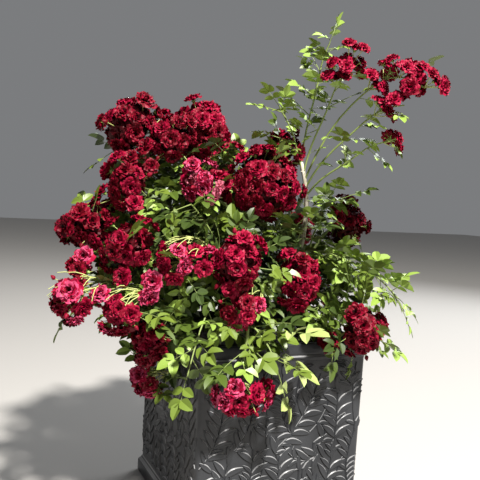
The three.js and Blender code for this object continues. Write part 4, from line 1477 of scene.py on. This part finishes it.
def planter_profile():
    """The planter's width at each height: its foot, panels, bead and rim outside, then inside."""
    rim_foot = PLANTER_HEIGHT - RIM_HEIGHT
    bead = rim_foot - BEAD_HEIGHT
    foot = panel_width(0) + 2 * FOOT_STEP
    inside = PLANTER_WIDTH - 2 * RIM_STEP - 2 * WALL
    foot_steps = [
        (-6, 0), (-1.5, 1), (0, 4), (0, FOOT_HEIGHT - 15), (-2, FOOT_HEIGHT - 11),
        (-7, FOOT_HEIGHT - 8), (-12, FOOT_HEIGHT - 5.5), (-14, FOOT_HEIGHT - 2),
    ]
    rim_steps = [
        (-2, bead - 0.5), (0, bead + 1.2), (0, rim_foot - 1.5), (-3, rim_foot), (-6, rim_foot + 1.2),
        (-6, rim_foot + 3), (-3, rim_foot + 4.5), (-2, rim_foot + 7), (-2, PLANTER_HEIGHT - 4),
        (-3.5, PLANTER_HEIGHT - 1), (-7, PLANTER_HEIGHT),
    ]
    return [
        *((foot + step, z) for step, z in foot_steps),
        *((panel_width(z), z) for z in (FOOT_HEIGHT, 120, 240)),
        (panel_width(bead), bead - 5), (panel_width(bead) + 1, bead - 2),
        *((PLANTER_WIDTH + step, z) for step, z in rim_steps),
        (inside + 2, PLANTER_HEIGHT), (inside, PLANTER_HEIGHT - 1.5), (inside - PLANTER_TAPER, FLOOR),
    ]


def lifts(points, faces):
    """How far each face looks up: 1 for straight up and -1 for straight down."""
    corners = points[faces]
    normals = np.cross(corners[:, 1] - corners[:, 0], corners[:, 2] - corners[:, 0])
    return normals[:, 2] / (norm(normals, axis=1) + 1e-9)


def highlighted_ledges(points, faces):
    """Painted highlight on the ledges of the foot and of the bead under the rim, where they look up, but
    not on the rim's own top.
    """
    heights = points[faces][:, :, 2].mean(axis=1)
    outside = np.abs(points[faces]).max(axis=(1, 2)) > panel_width(0) / 2 - 1
    below_rim = (heights > 1) & (heights < PLANTER_HEIGHT - RIM_HEIGHT + 4)
    return (outside & below_rim & (lifts(points, faces) > PAINTED_LIGHT_LIFT)) * HIGHLIGHT_LOOK


def make_planter():
    batch = Batch([
        resin_material("charcoal_resin", (0.013, 0.014, 0.016), (0.034, 0.036, 0.040), 0.36),
        # A lighter resin as painted highlight on faces that look up
        resin_material("highlight_resin", (0.13, 0.13, 0.135), (0.28, 0.28, 0.285), 0.3),
        # A near-black resin as painted shade on relief edges that look down
        resin_material("painted_shade_resin", (0.003, 0.003, 0.003), (0.008, 0.008, 0.008), 0.7),
    ])
    rings = np.array([square_ring(width, z) for width, z in planter_profile()])
    batch.add_capped_tube(rings, highlighted_ledges)
    for face in range(4):
        add_relief(batch, face)
    planter = batch.make("planter_resin", ["planter"])
    planter.data.set_sharp_from_angle(angle=radians(55))


# Relief on the planter's panels: branches with slender leaves in pairs
# foot, turn and tip of each branch, each across and up the panel
BRANCHES = [
    (-172, 60, -130, 90, -118, 150), (-176, 150, -130, 200, -132, 280), (-100, 50, -60, 90, -66, 176),
    (-120, 165, -70, 200, -62, 300), (-30, 50, 10, 100, -14, 160), (20, 198, -14, 225, -10, 320),
    (-15, 172, 52, 222, 76, 320), (83, 150, 40, 120, 2, 176), (60, 50, 110, 60, 116, 136),
    (115, 140, 126, 200, 120, 275), (170, 50, 140, 110, 168, 190), (168, 205, 150, 270, 160, 340),
    (-128, 48, -136, 66, -168, 100), (-66, 60, -40, 120, -36, 180), (-140, 290, -110, 300, -88, 346),
    (-40, 200, -36, 270, -58, 346), (26, 50, 44, 70, 40, 120), (128, 60, 120, 90, 150, 150),
    (60, 200, 88, 220, 100, 262), (24, 270, 20, 300, 38, 346), (126, 276, 120, 300, 104, 346),
    (-170, 285, -172, 320, -150, 346), (-96, 262, -104, 300, -116, 330), (-8, 110, 30, 130, 70, 122),
    (70, 176, 90, 160, 98, 200), (-96, 100, -120, 110, -150, 140), (150, 290, 140, 320, 130, 346),
    (0, 230, 24, 250, 30, 290),
]
RELIEF_LEAF_LENGTH = 44
RELIEF_LEAF_WIDTH = 15
RELIEF_PAIR_SPACING = 23
RELIEF_LEAST_GAP = 13.5
RELIEF_HEIGHT = 2.9
RELIEF_SUNK = 0.15
RELIEF_SIZES = (1, 0.8, 0.6)
RELIEF_LOW = FOOT_HEIGHT + 3
RELIEF_HIGH = PLANTER_HEIGHT - RIM_HEIGHT - BEAD_HEIGHT - 6
LEAF_SHARES = np.linspace(0, 1, 9)
# share of the half width, share of the height: steep edges round a shallow hollow
RELIEF_SECTION = np.array([
    (-1, 0), (-0.76, 0.86), (-0.6, 1), (-0.3, 0.8), (0, 0.74), (0.3, 0.8), (0.6, 1), (0.76, 0.86), (1, 0),
])


def on_panel(flat, face):
    """Points (across, up, height over the panel) put on one of the planter's four faces."""
    across, up, height = np.moveaxis(flat, -1, 0)
    half = panel_width(up) / 2
    x = across * (half - PLANTER_CORNER) / (panel_width(0) / 2 - PLANTER_CORNER)
    points = stacked(x, -half - height, up).reshape(-1, 3)
    return turned_about_z(points, -face * pi / 2)


def side_of(direction):
    return np.array([-direction[1], direction[0]])


def leaf_line(root, direction, length, bow):
    """Points along a leaf's middle, which bows to one side."""
    bowed = np.outer(bow * length * LEAF_SHARES**2, side_of(direction))
    return root + np.outer(LEAF_SHARES * length, direction) + bowed


def relief_leaf(root, direction, length, bow):
    """A slender leaf in relief with steep edges and a shallow hollow between them."""
    widest = RELIEF_LEAF_WIDTH * length / RELIEF_LEAF_LENGTH / 2
    half = widest * np.sin(pi * (0.03 + 0.955 * LEAF_SHARES)) ** 0.9
    offsets = half[:, None] * RELIEF_SECTION[None, :, 0]
    fullness = np.minimum(1, 2.2 * half / half.max())[:, None]
    heights = RELIEF_HEIGHT * RELIEF_SECTION[None, :, 1] * fullness - RELIEF_SUNK
    line = leaf_line(root, direction, length, bow)
    flat = line[:, None, :] + offsets[:, :, None] * side_of(direction)
    return stacked(flat[..., 0], flat[..., 1], heights)


def relief_stem(curve):
    path = bend(*curve, 14)
    headings = np.gradient(path, axis=0)
    headings /= norm(headings, axis=1)[:, None]
    offsets = np.array([-1.6, -0.9, 0, 0.9, 1.6])
    heights = np.array([-RELIEF_SUNK, 1.5, 2.3, 1.5, -RELIEF_SUNK])
    flat = path[:, None, :] + offsets[None, :, None] * side_of(headings.T).T[:, None, :]
    return stacked(flat[..., 0], flat[..., 1], heights)


def relief_leaves(curve, taken, size):
    """Root, direction, length and bow of each leaf of one branch, where no other leaf lies."""
    foot, turn, tip = curve
    length = norm(turn - foot) + norm(tip - turn)
    path = bend(foot, turn, tip, max(2, round(length / RELIEF_PAIR_SPACING / size)))
    headings = [unit(heading) for heading in np.gradient(path, axis=0)]
    found = [(path[-1], headings[-1], 0.05)]
    for place, heading in zip(path[:-1], headings[:-1]):
        for hand in (1, -1):
            direction = unit(heading * 0.8 + side_of(heading) * hand * 0.62)
            found.append((place, direction, 0.26 * hand))
    limit = panel_width(0) / 2 - 4
    for root, direction, bow in found:
        line = leaf_line(root, direction, RELIEF_LEAF_LENGTH * size, bow)
        inside = np.all(line > (-limit, RELIEF_LOW)) and np.all(line < (limit, RELIEF_HIGH))
        spots = line[[3, 6]]
        gaps = [norm(spot - other) for spot in spots for other in taken]
        if inside and all(gap > RELIEF_LEAST_GAP * size for gap in gaps):
            taken.extend(spots)
            yield root, direction, RELIEF_LEAF_LENGTH * size, bow


def edge_looks(points, faces, columns):
    """Painted highlight where an outer edge looks up, painted shade where it looks down, and plain
    between the edges.
    """
    column = faces.min(axis=1) % columns
    at_edge = (column == 0) | (column == columns - 2)
    lift = lifts(points, faces)
    return ((lift > PAINTED_LIGHT_LIFT) * HIGHLIGHT_LOOK + (lift < -PAINTED_LIGHT_LIFT) * PAINTED_SHADE_LOOK) * at_edge


def add_raised(batch, flat, face):
    points = on_panel(flat, face)
    faces = grid_faces(flat.shape[0], flat.shape[1])[:, ::-1]
    batch.add(points, faces, edge_looks(points, faces, flat.shape[1]))


def add_relief(batch, face):
    """Branches and leaves on one face, mirrored from each face to the next."""
    curves = [point(row).reshape(3, 2) * (-1 if face % 2 else 1, 1) for row in BRANCHES]
    taken = []
    for curve in curves:
        add_raised(batch, relief_stem(curve), face)
    for size in RELIEF_SIZES:
        for curve in curves:
            for leaf in relief_leaves(curve, taken, size):
                add_raised(batch, relief_leaf(*leaf), face)


# Soil
SOIL_CELLS = 56
CLODS = 260
SOIL_SEED = 3


def make_soil():
    random = np.random.default_rng(SOIL_SEED)
    width = PLANTER_WIDTH - 2 * RIM_STEP - 2 * WALL - 2 * CLEARANCE - PLANTER_TAPER * 0.1
    line = np.linspace(-width / 2, width / 2, SOIL_CELLS)
    x, y = np.meshgrid(line, line)
    swell = 2.5 * np.sin(x / 31 + 1) * np.cos(y / 27) + 1.5 * np.sin(x / 11 + y / 13)
    top = stacked(x, y, SOIL_TOP - 3 + swell + random.normal(0, 1.1, x.shape))
    batch = Batch([soil_material()])
    batch.add(top, grid_faces(SOIL_CELLS, SOIL_CELLS))
    base = [square_ring(width - PLANTER_TAPER, FLOOR + 2), square_ring(width, SOIL_TOP - 8)]
    batch.add_capped_tube(np.array(base))
    for _ in range(CLODS):
        add_clod(batch, random, width)
    batch.make("soil_surface", ["soil"])


def add_clod(batch, random, width):
    """One crumb of bark or compost lying on the soil."""
    size = random.uniform(2.5, 7)
    x, y = random.uniform(-0.47, 0.47, 2) * width
    place = point((x, y, SOIL_TOP - 2))
    heading = unit(point((random.normal(), random.normal(), 0.2 * random.normal())))
    path = place + np.outer((-1, -0.4, 0.5, 1), heading) * size
    batch.add_capped_tube(tube(path, np.array([0.3, 0.8, 0.7, 0.25]) * size * 0.6, 6))


# Surroundings: a plain pale floor and plain soft studio light
FLOOR_HALF = 14
LIGHT_AIM = Vector((-0.08, 0, 0.5))


def make_floor():
    mesh = bpy.data.meshes.new("floor")
    corners = [(x * FLOOR_HALF, y * FLOOR_HALF, 0) for x, y in ((-1, -1), (1, -1), (1, 1), (-1, 1))]
    mesh.from_pydata(corners, [], [(0, 1, 2, 3)])
    mesh.materials.append(plain_material("pale_floor", (0.42, 0.405, 0.385), 0.9))
    linked("floor", mesh)


def make_area_light(name, direction, distance, size, power, colour):
    data = bpy.data.lights.new(name, "AREA")
    data.shape = "DISK"
    data.size = size
    data.energy = power
    data.color = colour
    light = linked(name, data)
    towards = Vector(direction).normalized()
    light.location = LIGHT_AIM + towards * distance
    light.rotation_euler = towards.to_track_quat("Z", "Y").to_euler()


def make_light():
    make_area_light("key", (0.03, -0.72, 0.84), 5, 0.4, 760, (1, 0.97, 0.92))
    make_area_light("fill", (0.9, 0.5, 0.6), 4, 3, 110, (0.94, 0.97, 1))
    world = bpy.data.worlds.new("studio")
    world.use_nodes = True
    background = world.node_tree.nodes["Background"]
    background.inputs["Color"].default_value = (0.90, 0.92, 0.95, 1)
    background.inputs["Strength"].default_value = 0.22
    bpy.context.scene.world = world
    bpy.context.scene.view_settings.view_transform = "Standard"
    bpy.context.scene.view_settings.look = "None"


make_camera()
make_light()
make_floor()
make_planter()
make_soil()
limbs = cane_limbs()
green_bark = bark_material("green_bark", (0.05, 0.055, 0.02), (0.13, 0.14, 0.05), (0.22, 0.21, 0.09))
pale_bark = bark_material("pale_bark", (0.20, 0.17, 0.12), (0.43, 0.39, 0.30), (0.60, 0.56, 0.47))
make_canes(limbs, green_bark, pale_bark)
make_stem(pale_bark)
make_foliage(grow_foliage(limbs, grow_plant(limbs)))
